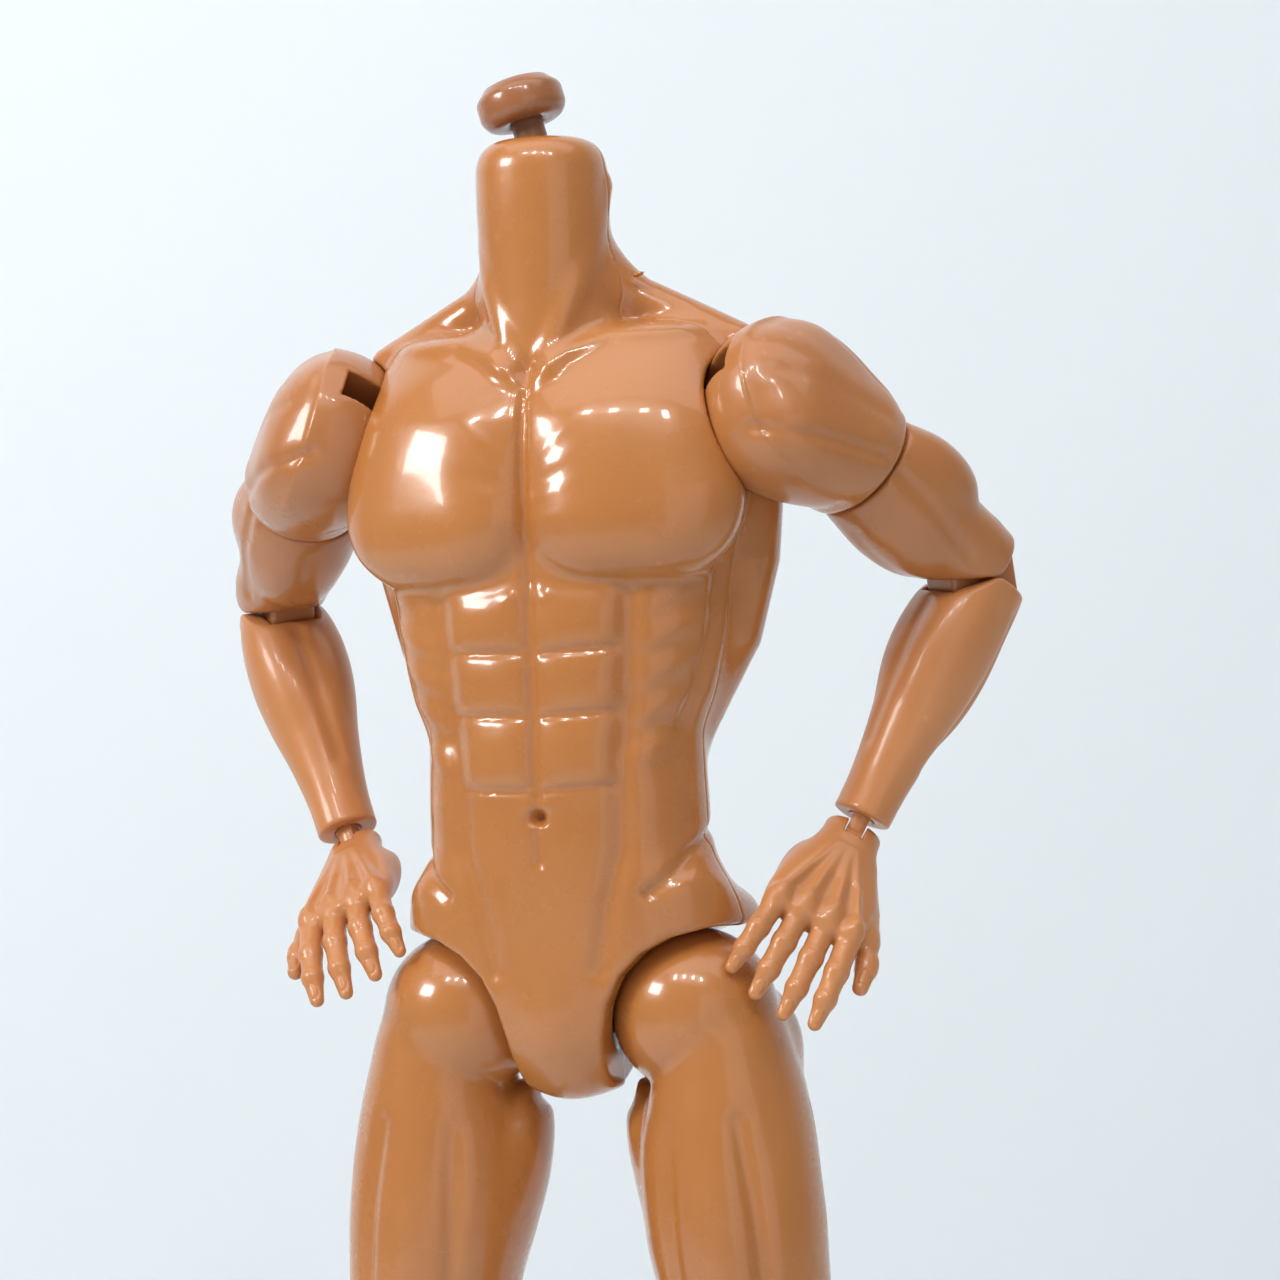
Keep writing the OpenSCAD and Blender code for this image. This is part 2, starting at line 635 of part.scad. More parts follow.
module thigh(side) color(skin_colour) at_thigh(side) difference() {
    r = thigh_ball_d / 2;
    w = thigh_w / 2;
    k = knee_w / 2;
    run = thigh_len + knee_plate_r * 0.75;
    union() {
        ball(r);
        loft([ring([0, 0], k - 0.4, k - 0.2, k - 0.2, 2.4, -run),
              ring([0, 0], k, k + 0.3, k - 0.1, 2.3, -run * 0.92),
              ring([0.2, -0.3], k + 0.8, k + 1, k + 0.8, 2.2, -run * 0.76),
              ring([0.6, -0.5], w - 1, w - 0.6, w - 1, 2.1, -run * 0.55),
              ring([1, -0.4], w, w + 0.4, w + 0.2, 2.1, -run * 0.34),
              ring([1.2, 0], w - 0.4, w, w + 0.4, 2.1, -run * 0.2),
              ring([1.2, 0], w - 1.6, w - 1, w - 0.8, 2, -run * 0.1),
              ring([0.8, 0], r - 1.2, r - 1, r - 1, 2, 0),
              ring([0.6, 0], r - 3, r - 3, r - 3, 2, 6)]);
    }
    tongue_slot(shoulder_eye_d - 0.6, hip_shaft_d, spread_least, spread_most, r + 3);
    bar_y(big_pin_d + 2 * press_gap, -7.1, far / 2);
    translate([0, 0, -thigh_len]) {
        plate_slot(knee_plate_t, knee_plate_r, knee_most, 1);
        pin_bore(knee_pin_d);
        bend_cut((knee_pitch - face_gap) / 2, knee_most, 1);
    }
}

module knee_knuckle(side) color(skin_colour) at_knee(side)
    knuckle(knee_plate_t, knee_plate_r, knee_pitch, knee_pin_d);

module knee_pins(side) color(pin_colour) at_knee(side) {
    half = knee_w / 2 - 1.2;
    bar_x(knee_pin_d, -half, half);
    translate([0, 0, -knee_pitch]) bar_x(knee_pin_d, -half, half);
}

module shin(side) color(skin_colour) at_shin(side) difference() {
    c = calf_w / 2;
    k = knee_w / 2;
    a = ankle_w / 2;
    run = shin_len;
    loft([ring([0, 0], a, a, a, 2.1, -run),
          ring([0, 0.3], a, a, a + 0.2, 2.1, -run * 0.88),
          ring([0, 0.6], (a + c) / 2, (a + c) / 2, (a + c) / 2 + 0.4, 2.1, -run * 0.62),
          ring([0, 0.8], c, c - 0.6, c + 1, 2.1, -run * 0.36),
          ring([0, 0.4], c, c - 0.6, c + 0.4, 2.2, -run * 0.2),
          ring([0, 0], k, k, k - 0.3, 2.3, 0),
          ring([0, 0], k - 0.4, k - 0.2, k - 0.4, 2.4, knee_plate_r * 0.75)]);
    mirror([0, 0, 1]) {
        plate_slot(knee_plate_t, knee_plate_r, knee_most, 1);
        bend_cut((knee_pitch - face_gap) / 2, knee_most, 1);
    }
    pin_bore(knee_pin_d);
    translate([0, 0, -run]) peg_bore(ankle_shaft_d, ankle_flange_d, peg_flange_t, peg_depth);
}

module ankle_peg(side) color(skin_colour) at_ankle(side)
    eye_peg(ankle_shaft_d, ankle_flange_d, ankle_plate_t, ankle_eye_d, ankle_drop, ankle_pin_d);

module ankle_pin(side) color(pin_colour) at_foot(side)
    bar_x(ankle_pin_d, -ankle_w / 2 + 1, ankle_w / 2 - 1);

// Height of the ankle pin above the floor, and its sideways place
leg_reach = thigh_len + knee_pitch + shin_len + ankle_drop;
ankle_pin_z = hip_z - leg_reach * cos(leg_spread);
ankle_pin_x = hip_x + leg_reach * sin(leg_spread);
heel = 9;                  // from the ankle pin back to the heel

module foot(side) color(skin_colour) {
    w = foot_w / 2;
    a = ankle_w / 2;
    difference() {
        on_side(side) translate([ankle_pin_x, 0, 0]) rotate([0, 0, toe_out]) union() {
            mid = (heel - (foot_len - heel)) / 2;
            half = foot_len / 2;
            loft([ring([0, mid], w * 0.9, half - 1, half - 1, 2.6, 0),
                  ring([0, mid], w, half, half, 2.6, 1.2),
                  ring([0, mid + 0.5], w * 0.97, half - 1.2, half - 0.2, 2.5, 3.2),
                  ring([0, mid + half * 0.25], w * 0.85, half * 0.95, half * 0.72, 2.2, 5.6),
                  ring([0, -1], w * 0.72, 11, 9.4, 2.1, 8.6),
                  ring([0, 0], a + 0.4, 6.4, 7.4, 2, 12),
                  ring([0, 0.2], a - 0.2, a - 0.2, a, 2, ankle_pin_z + 2.4)]);
        }
        at_foot(side) {
            eye_slot(ankle_plate_t, ankle_eye_d);
            bar_x(ankle_pin_d + 2 * press_gap, -ankle_w / 2 + 1, ankle_w / 2 - 1);
        }
    }
}

torso_front();
torso_back();
neck_stem();
head_plug();
shoulder_hub(1);  // shoulder_hub_left
shoulder_pin(1);  // shoulder_pin_left
deltoid(1);  // deltoid_left
upper_arm(1);  // upper_arm_left
elbow_knuckle(1);  // elbow_knuckle_left
elbow_pins(1);  // elbow_pins_left
forearm(1);  // forearm_left
wrist_peg(1);  // wrist_peg_left
wrist_pin(1);  // wrist_pin_left
hand(1);  // hand_left
shoulder_hub(-1);  // shoulder_hub_right
shoulder_pin(-1);  // shoulder_pin_right
deltoid(-1);  // deltoid_right
upper_arm(-1);  // upper_arm_right
elbow_knuckle(-1);  // elbow_knuckle_right
elbow_pins(-1);  // elbow_pins_right
forearm(-1);  // forearm_right
wrist_peg(-1);  // wrist_peg_right
wrist_pin(-1);  // wrist_pin_right
hand(-1);  // hand_right
hip_hub(1);  // hip_hub_left
hip_pin(1);  // hip_pin_left
thigh(1);  // thigh_left
knee_knuckle(1);  // knee_knuckle_left
knee_pins(1);  // knee_pins_left
shin(1);  // shin_left
ankle_peg(1);  // ankle_peg_left
ankle_pin(1);  // ankle_pin_left
foot(1);  // foot_left
hip_hub(-1);  // hip_hub_right
hip_pin(-1);  // hip_pin_right
thigh(-1);  // thigh_right
knee_knuckle(-1);  // knee_knuckle_right
knee_pins(-1);  // knee_pins_right
shin(-1);  // shin_right
ankle_peg(-1);  // ankle_peg_right
ankle_pin(-1);  // ankle_pin_right
foot(-1);  // foot_right
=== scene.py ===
"""Looks of a jointed muscular doll body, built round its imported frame.

Each moulding is sculpted as the zero surface of a field: masses that blend into each other, with
swells and grooves on them, less the cuts, slots and round seats that the joints need. Fields are in
millimetres in each part's own axes, and the frame's joints place them. The left limbs are modelled,
and the right ones are their mirror image.
"""
import json
import math

import bmesh
import bpy
import numpy as np
from mathutils import Euler, Matrix, Vector


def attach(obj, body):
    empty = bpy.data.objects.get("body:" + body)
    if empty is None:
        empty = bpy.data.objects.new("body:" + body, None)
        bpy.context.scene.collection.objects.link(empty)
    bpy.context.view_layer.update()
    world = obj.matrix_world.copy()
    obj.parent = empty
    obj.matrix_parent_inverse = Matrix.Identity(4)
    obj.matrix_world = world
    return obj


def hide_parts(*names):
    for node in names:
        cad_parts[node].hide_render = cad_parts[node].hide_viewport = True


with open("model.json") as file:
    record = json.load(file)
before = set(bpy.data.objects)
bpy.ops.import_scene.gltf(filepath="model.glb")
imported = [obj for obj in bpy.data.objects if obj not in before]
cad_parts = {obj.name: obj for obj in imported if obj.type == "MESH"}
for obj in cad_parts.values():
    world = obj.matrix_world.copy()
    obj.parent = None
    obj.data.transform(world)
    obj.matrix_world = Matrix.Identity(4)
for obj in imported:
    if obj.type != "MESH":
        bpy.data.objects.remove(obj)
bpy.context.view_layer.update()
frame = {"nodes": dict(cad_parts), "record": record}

SIDES = ("left", "right")
JOINTS = {joint["name"]: joint for joint in frame["record"]["behaviour"]["joints"]}
MM = 0.001

# Sizes that the pieces share with the frame, in millimetres and degrees
SHOULDER_CUP = 12.2
SHOULDER_BALL = 11.8
HIP_CUP = 10.95
HIP_BALL = 10.6
ARM_CUT = 12.5
ELBOW = {"end": 2.4, "slot": 5.3, "slot_half": 3.35, "most": 50, "plate": 5.1, "plate_half": 3.15}
KNEE = {"end": 3.9, "slot": 7.0, "slot_half": 2.85, "most": 62, "plate": 6.8, "plate_half": 2.7}
WRIST_BEND = {"left": 30, "right": 38}


# ---------- fields: distances in millimetres, negative inside ----------

def turned(p, centre, turn):
    """Points seen from a body at centre that is turned by three angles in degrees."""
    matrix = np.array(Euler([math.radians(a) for a in turn]).to_matrix())
    return (p - np.array(centre)) @ matrix


def egg(p, centre, radii, turn=(0, 0, 0), power=2.0):
    """Ellipsoid, squarer where power is over 2."""
    radii = np.array(radii)
    q = np.abs(turned(p, centre, turn)) / radii + 1e-6
    size = (q ** power).sum(1) ** (1 / power)
    slope = np.sqrt((((q / size[:, None]) ** (power - 1) / radii) ** 2).sum(1))
    return (size - 1) / slope


def chain(p, beads):
    """Round bars through beads, each (x, y, z, radius)."""
    best = np.full(len(p), 1e3)
    for first, last in zip(beads, beads[1:]):
        a, b = np.array(first, float), np.array(last, float)
        along = b[:3] - a[:3]
        t = np.clip((p - a[:3]) @ along / (along @ along), 0, 1)
        gap = p - a[:3] - t[:, None] * along
        best = np.minimum(best, np.sqrt((gap * gap).sum(1)) - a[3] - t * (b[3] - a[3]))
    return best


def blend(a, b, k):
    """Union of two fields with a fillet of about k."""
    h = np.clip(0.5 + 0.5 * (b - a) / k, 0, 1)
    return b + (a - b) * h - k * h * (1 - h)


def cut(a, b, k=0.3):
    """Field a without field b, with the edge rounded."""
    return -blend(-a, b, k)


def through(z, knots, values):
    """Smooth curve through values at rising knots, without overshoot."""
    rise = np.diff(values) / np.diff(knots)
    slope = np.concatenate([[rise[0]], (rise[1:] + rise[:-1]) / 2, [rise[-1]]])
    slope[1:-1][rise[1:] * rise[:-1] <= 0] = 0
    i = np.clip(np.searchsorted(knots, z) - 1, 0, len(knots) - 2)
    wide = knots[i + 1] - knots[i]
    t = np.clip((z - knots[i]) / wide, 0, 1)
    keep = 1 - t
    return (keep * keep * (1 + 2 * t) * values[i] + t * t * (3 - 2 * t) * values[i + 1]
            + keep * keep * t * wide * slope[i] - t * t * keep * wide * slope[i + 1])


def column(p, rings, cap=1.0):
    """Upright body through rings: height, centre x and y, half width, front, back, squareness."""
    rings = np.array(rings, float)
    z = p[:, 2]
    at = [through(z, rings[:, 0], rings[:, k]) for k in range(1, 7)]
    x = p[:, 0] - at[0]
    y = p[:, 1] - at[1]
    deep = np.where(y < 0, at[3], at[4])
    power = at[5]
    qx = np.abs(x) / at[2] + 1e-6
    qy = np.abs(y) / deep + 1e-6
    size = (qx ** power + qy ** power) ** (1 / power)
    slope = np.hypot((qx / size) ** (power - 1) / at[2], (qy / size) ** (power - 1) / deep)
    side = (size - 1) / slope
    ends = np.maximum(rings[0, 0] - z, z - rings[-1, 0])
    return -blend(-side, -ends, cap)


def rod(p, radius, low, high, axis=0, centre=(0, 0, 0)):
    """Round bar along an axis between two places."""
    q = p - np.array(centre)
    others = [k for k in range(3) if k != axis]
    return np.maximum(np.hypot(q[:, others[0]], q[:, others[1]]) - radius,
                      np.maximum(low - q[:, axis], q[:, axis] - high))


def outline(u, v, points):
    """Signed distance to a closed polygon in a plane."""
    best = np.full(len(u), 1e6)
    inside = np.zeros(len(u), bool)
    for (ax, ay), (bx, by) in zip(points, points[1:] + points[:1]):
        ex, ey = bx - ax, by - ay
        wx, wy = u - ax, v - ay
        t = np.clip((wx * ex + wy * ey) / (ex * ex + ey * ey), 0, 1)
        best = np.minimum(best, (wx - ex * t) ** 2 + (wy - ey * t) ** 2)
        inside ^= ((ay > v) != (by > v)) & (u < ax + (v - ay) * ex / (ey if ey else 1e-9))
    return np.where(inside, -1, 1) * np.sqrt(best)


def groove(p, points, width, depth):
    """Hollow along a line on the surface."""
    gap = chain(p, [(*point, 0) for point in points])
    return depth * np.exp(-(gap / width) ** 2)


def swell(p, centre, radii, height, turn=(0, 0, 0), power=2.0):
    """Rise round a point of the surface, flat-topped where power is over 2."""
    q = np.abs(turned(p, centre, turn)) / np.array(radii)
    return -height * np.exp(-(q ** power).sum(1))


def bone_end(p, hinge, closes):
    """What lies past the end of a bone that bends about a pin at the origin."""
    y, z = p[:, 1] * closes, p[:, 2]
    most = math.radians(hinge["most"])
    reach = np.maximum(-z, y * math.sin(most) - z * math.cos(most))
    closing = (y > 0) & (y * math.cos(most) + z * math.sin(most) < 0)
    return hinge["end"] - np.where(closing, np.hypot(y, z), reach)


def plate_room(p, hinge, closes):
    """Slot in which a knuckle plate swings about a pin at the origin."""
    y, z = p[:, 1] * closes, p[:, 2]
    most = math.radians(hinge["most"])
    across = y * math.cos(most) + z * math.sin(most)
    along = y * math.sin(most) - z * math.cos(most)
    r = hinge["slot"]
    straight = np.maximum(np.abs(y) - r, z)
    bent = np.maximum(np.abs(across) - r, -along)
    flat = np.minimum(np.hypot(y, z) - r, np.minimum(straight, bent))
    return np.maximum(flat, np.abs(p[:, 0]) - hinge["slot_half"])


def knuckle_field(p, hinge, pitch):
    """Knuckle plate with two round ends and eased edges."""
    z = p[:, 2] - np.clip(p[:, 2], -pitch, 0)
    flat = np.hypot(p[:, 1], z) - hinge["plate"]
    return -blend(-flat, hinge["plate_half"] - np.abs(p[:, 0]), 0.7)


# ---------- surfaces ----------

BLOCK = 4


def sample(field, points):
    pieces = np.array_split(points, len(points) // 40000 + 1)
    return np.concatenate([field(piece) for piece in pieces])


def lattice(axes):
    return np.stack(np.meshgrid(*axes, indexing="ij"), -1).reshape(-1, 3)


def grid_values(field, low, high, step):
    """Field on a lattice, worked out in full only in the blocks near the surface."""
    low = np.array(low, float) - 2 * step
    blocks = np.ceil((np.array(high) + 2 * step - low) / (BLOCK * step)).astype(int)
    middles = [low[k] + step * (BLOCK * np.arange(blocks[k]) + (BLOCK - 1) / 2) for k in range(3)]
    rough = sample(field, lattice(middles)).reshape(blocks)
    near = np.abs(rough) < 1.7 * BLOCK * step
    for k in range(3):
        rough, near = rough.repeat(BLOCK, k), near.repeat(BLOCK, k)
    where = np.nonzero(near)
    rough[where] = sample(field, low + step * np.stack(where, 1))
    return low, rough


def surface(field, low, high, step):
    """Closed mesh of a field's zero surface: one corner in each cell that the surface crosses."""
    low, values = grid_values(field, low, high, step)
    inside = values < 0
    cells = np.array(values.shape) - 1
    total = np.zeros((*cells, 3))
    hits = np.zeros(cells)
    crossings = []
    for k in range(3):
        first = tuple(slice(0, -1) if a == k else slice(None) for a in range(3))
        second = tuple(slice(1, None) if a == k else slice(None) for a in range(3))
        place = np.nonzero(inside[first] != inside[second])
        before, after = values[first][place], values[second][place]
        point = np.stack(place, 1).astype(float)
        point[:, k] += before / (before - after)
        corners = []
        for da, db in ((0, 0), (1, 0), (1, 1), (0, 1)):
            cell = list(place)
            cell[(k + 1) % 3] = cell[(k + 1) % 3] - da
            cell[(k + 2) % 3] = cell[(k + 2) % 3] - db
            cell = tuple(cell)
            total[cell] += point
            hits[cell] += 1
            corners.append(cell)
        crossings.append((corners, before < 0))
    number = np.full(cells, -1)
    used = hits > 0
    number[used] = np.arange(used.sum())
    vertices = low + step * total[used] / hits[used][:, None]
    faces = []
    for corners, outward in crossings:
        quads = np.stack([number[cell] for cell in corners], 1)
        quads[~outward] = quads[~outward][:, ::-1]
        faces.append(quads)
    for _ in range(2):
        vertices = settled(field, vertices, step)
    return vertices, np.concatenate(faces)


def settled(field, points, step):
    """Points moved onto the zero surface."""
    reach = 0.03
    here = sample(field, points)
    slope = np.stack([(sample(field, points + reach * np.eye(3)[k]) - here) / reach
                      for k in range(3)], 1)
    move = slope * (here / np.maximum((slope * slope).sum(1), 0.25))[:, None]
    size = np.sqrt((move * move).sum(1))[:, None]
    return points - move * np.minimum(1, step * 0.6 / np.maximum(size, 1e-9))


# ---------- places ----------

def pivot(name, side):
    """A joint's place in millimetres and its axis, as on the left side."""
    joint = JOINTS[f"{name}_{side}"]
    place = np.array(joint["pos_m"]) / MM
    axis = np.array(joint["axis"])
    if side == "right":
        place = place * (-1, 1, 1)
        axis = axis * (1, -1, -1)
    return place, axis


def axes_at(origin, x, z):
    """Place with its Z along z and its X as near x as it can be."""
    z = z / np.linalg.norm(z)
    y = np.cross(z, x)
    y /= np.linalg.norm(y)
    matrix = np.eye(4)
    matrix[:3, 0], matrix[:3, 1], matrix[:3, 2], matrix[:3, 3] = np.cross(y, z), y, z, origin
    return matrix


def limb_places(side):
    """Local axes of each limb piece, as on the left side."""
    shoulder, raise_axis = pivot("shoulder_raise", side)
    up = pivot("upper_arm_turn", side)[1]
    elbow, elbow_axis = pivot("elbow_upper", side)
    lower_elbow = pivot("elbow_lower", side)[0]
    arm_line = pivot("wrist_turn", side)[1]
    wrist_pin, wrist_axis = pivot("wrist_bend", side)
    hip = pivot("hip_swing", side)[0]
    knee, knee_axis = pivot("knee_upper", side)
    lower_knee = pivot("knee_lower", side)[0]
    ankle = pivot("ankle_turn", side)[0]
    ankle_pin, ankle_axis = pivot("ankle_bend", side)
    bend = np.array(Matrix.Rotation(math.radians(WRIST_BEND[side]), 3, Vector(wrist_axis)))
    return {
        "deltoid": axes_at(shoulder, np.cross(-raise_axis, up), up),
        "upper_arm": axes_at(shoulder, -elbow_axis, up),
        "elbow": axes_at(elbow, -elbow_axis, elbow - lower_elbow),
        "forearm": axes_at(lower_elbow, -elbow_axis, arm_line),
        "hand": axes_at(wrist_pin, wrist_axis, bend @ arm_line),
        "thigh": axes_at(hip, knee_axis, hip - knee),
        "knee": axes_at(knee, knee_axis, knee - lower_knee),
        "shin": axes_at(lower_knee, knee_axis, lower_knee - ankle),
        "foot": axes_at(ankle_pin * (1, 1, 0), ankle_axis, np.array((0, 0, 1.0))),
    }


PLACES = {side: limb_places(side) for side in SIDES}
LEFT = PLACES["left"]


def length(a, b):
    return float(np.linalg.norm(LEFT[a][:3, 3] - LEFT[b][:3, 3]))


ARM = length("upper_arm", "elbow")
ELBOW_PITCH = length("elbow", "forearm")
FOREARM = float(np.linalg.norm(pivot("wrist_turn", "left")[0] - LEFT["forearm"][:3, 3]))
THIGH = length("thigh", "knee")
KNEE_PITCH = length("knee", "shin")
SHIN = float(np.linalg.norm(pivot("ankle_turn", "left")[0] - LEFT["shin"][:3, 3]))
ANKLE_Z = float(pivot("ankle_bend", "left")[0][2])
SHOULDER = LEFT["deltoid"][:3, 3]
HIP = LEFT["thigh"][:3, 3]
SEAM_Y = float(SHOULDER[1])
NECK_BALL = np.array(JOINTS["neck_lean"]["pos_m"]) / MM


# ---------- torso ----------

# Height, centre x and y, half width, front, back, squareness
TRUNK = [
    (137.3, 0, -1.0, 4.5, 5.6, 4.5, 2.0),
    (139.5, 0, -0.5, 8.0, 7.6, 7.6, 2.0),
    (143.5, 0, 0.0, 14.0, 10.2, 11.8, 2.1),
    (148.0, 0, 0.0, 19.0, 11.4, 14.2, 2.2),
    (154.0, 0, 0.0, 21.4, 12.2, 15.0, 2.25),
    (159.0, 0, 0.0, 21.9, 12.4, 14.6, 2.25),
    (163.5, 0, 0.0, 20.8, 12.5, 13.4, 2.2),
    (168.5, 0, 0.0, 18.9, 12.6, 12.2, 2.1),
    (176.0, 0, 0.0, 18.4, 12.7, 11.4, 2.1),
    (182.5, 0, 0.2, 18.3, 12.8, 11.2, 2.1),
    (189.0, 0, 0.5, 20.4, 13.0, 11.4, 2.15),
    (196.0, 0, 1.0, 22.0, 13.6, 11.8, 2.2),
    (203.0, 0, 1.5, 22.8, 13.9, 12.4, 2.25),
    (212.0, 0, 2.0, 24.6, 14.6, 13.6, 2.3),
    (220.0, 0, 2.2, 25.0, 13.8, 14.2, 2.3),
    (227.0, 0, 2.4, 24.6, 12.4, 13.6, 2.3),
    (232.0, 0, 2.6, 23.6, 9.8, 12.0, 2.2),
    (236.0, 0, 3.0, 20.0, 7.2, 9.0, 2.1),
]
NECK = [
    (226.0, 0, 0.0, 7.4, 9.0, 8.4, 2.0),
    (236.0, 0, 0.0, 7.9, 8.6, 8.6, 2.0),
    (244.0, 0, -0.2, 8.4, 8.4, 8.8, 2.05),
    (252.0, 0, -0.5, 8.5, 8.4, 8.6, 2.1),
    (260.3, 0, -0.5, 8.3, 8.2, 8.2, 2.1),
]
LAT = [(23.2, 6.8, 215.0, 5.2), (21.6, 7.0, 206.0, 5.8), (19.4, 6.6, 196.5, 5.4),
       (15.6, 5.6, 187.0, 4.2), (12.0, 5.0, 178.0, 3.0)]
SHOULDER_RIDGE = [(5.0, 3.0, 243.5, 3.2), (11.0, 4.0, 239.2, 3.1), (18.0, 4.4, 235.6, 3.1),
                  (23.5, 4.4, 232.6, 3.2)]
# Edge of the front leg openings as (x, z), from the crotch up and out
FRONT_OPENING = [(5.7, 130), (5.9, 141), (6.4, 145.5), (7.4, 149.8), (9.2, 153.4), (12.0, 156.2),
                 (15.5, 158.0), (19.5, 158.9), (40, 159.2), (40, 130)]
BACK_OPENING = [(4.6, 130), (5.2, 141), (6.2, 146), (8.2, 150.4), (11.2, 154.0), (15.0, 156.8),
                (19.5, 158.6), (40, 159.2), (40, 130)]
# Tops of the rows of belly muscles, and how far the rows reach sideways
BELLY_ROWS = [(202.4, 11.6), (194.4, 11.2), (186.4, 10.4), (177.0, 9.4)]
NAVEL_Z = 173.6


def flat_points(x, z):
    """Points in the X-Z plane, for relief that doesn't depend on depth."""
    return np.stack([x, np.zeros_like(x), z], 1)


def belly_relief(x, z, front):
    f = flat_points(x, z)
    relief = np.zeros(len(x))
    for (top, wide), (bottom, _) in zip(BELLY_ROWS, BELLY_ROWS[1:] + [(166.5, 0)]):
        if bottom > 170:
            middle = ((wide + 0.9) / 2, 0, (top + bottom) / 2)
            size = ((wide - 0.9) / 2 + 0.3, 9, (top - bottom) / 2 - 0.25)
            relief += swell(f, middle, size, 1.0, power=3.2)
            relief += groove(f, [(1.5, 0, bottom), (wide - 1, 0, bottom + 0.3)], 0.6, 0.4)
    relief += swell(f, (5.4, 0, 168), (6, 9, 8), 0.35)
    relief += groove(f, [(0, 0, 203), (0, 0, 168)], 0.75, 0.5)
    relief += groove(f, [(12.6, 0, 201), (11.9, 0, 190), (10.6, 0, 178), (10.4, 0, 169.5),
                         (8.3, 0, 161.5), (7.0, 0, 154.5)], 1.5, 0.75)
    relief += -swell(f, (0, 0, NAVEL_Z), (1.1, 9, 0.85), 1.5)
    relief += swell(f, (0, 0, NAVEL_Z - 1.2), (0.8, 9, 0.5), 0.45)
    relief += swell(f, (0, 0, NAVEL_Z + 1.5), (1.9, 9, 0.7), 0.25)
    relief += swell(f, (0, 0, 146), (4.8, 9, 6.5), 1.1)
    return relief * front


def chest_relief(x, z, front):
    f = flat_points(x, z)
    relief = groove(f, [(0, 0, 204), (0, 0, 226.5)], 0.8, 0.5)
    relief += swell(f, (2.2, 0, 201.5), (1.2, 9, 1.0), 0.3)
    relief += -swell(f, (0, 0, 229.6), (2.6, 9, 2.0), 1.0)
    collar = chain(f, [(1.4, 0, 229.0, 0), (5.2, 0, 232.2, 0), (10.0, 0, 234.4, 0),
                       (17.0, 0, 234.6, 0), (23.0, 0, 235.4, 0)])
    relief += -0.75 * np.exp(-(collar / 1.35) ** 2)
    for k in range(4):
        relief += swell(f, (3.4 + 0.5 * k, 0, 211 + 3.4 * k), (3.4, 9, 0.9), 0.08, (0, -14 * k, 0))
    return relief * front


def flank_relief(p, x, y, z):
    """Ribs and slanting muscle along the flank, by angle round the body from the front."""
    angle = np.degrees(np.arctan2(x, 1.5 - y))
    f = np.stack([angle / 4, np.zeros_like(x), z], 1)
    relief = np.zeros(len(x))
    for k in range(5):
        centre = (15.6 - 0.5 * k, 0, 201.5 - 4.9 * k)
        relief += swell(f, centre, (3.4, 9, 1.7), 0.55, (0, -34, 0))
    relief += swell(f, (13.2, 0, 175), (4.2, 9, 8.5), 0.7)
    relief += groove(f, [(19.8, 0, 205), (19.2, 0, 195), (17.0, 0, 184)], 1.0, 0.55)
    relief += groove(f, [(24.5, 0, 171.5), (17.5, 0, 168.6), (12.5, 0, 163.8)], 0.9, 0.75)
    relief += swell(f, (17.5, 0, 164.2), (5.0, 9, 3.0), 0.9, (0, 20, 0))
    return relief


def back_relief(x, z, back):
    f = flat_points(x, z)
    relief = groove(f, [(0, 0, 232), (0, 0, 158)], 1.7, 1.5)
    relief += swell(f, (4.6, 0, 178), (3.0, 9, 17), 1.1, power=2.6)
    relief += swell(f, (13.0, 0, 221), (6.4, 9, 7.2), 1.5, (0, 14, 0), power=2.5)
    relief += swell(f, (17.5, 0, 212.5), (6.0, 9, 3.2), 0.9, (0, 24, 0))
    relief += groove(f, [(6.4, 0, 228), (7.6, 0, 217), (9.8, 0, 211.5)], 1.1, 0.7)
    relief += groove(f, [(9.8, 0, 211.5), (17.5, 0, 208.5), (23, 0, 211)], 1.0, 0.6)
    relief += groove(f, [(11.5, 0, 227), (4.5, 0, 212), (1.2, 0, 198)], 0.9, 0.55)
    relief += groove(f, [(13.5, 0, 196), (8.6, 0, 182), (7.0, 0, 170)], 1.2, 0.6)
    relief += -swell(f, (5.6, 0, 164.5), (1.6, 9, 1.6), 0.7)
    relief += groove(f, [(0, 0, 159.5), (0, 0, 136)], 1.0, 2.2)
    return relief * back


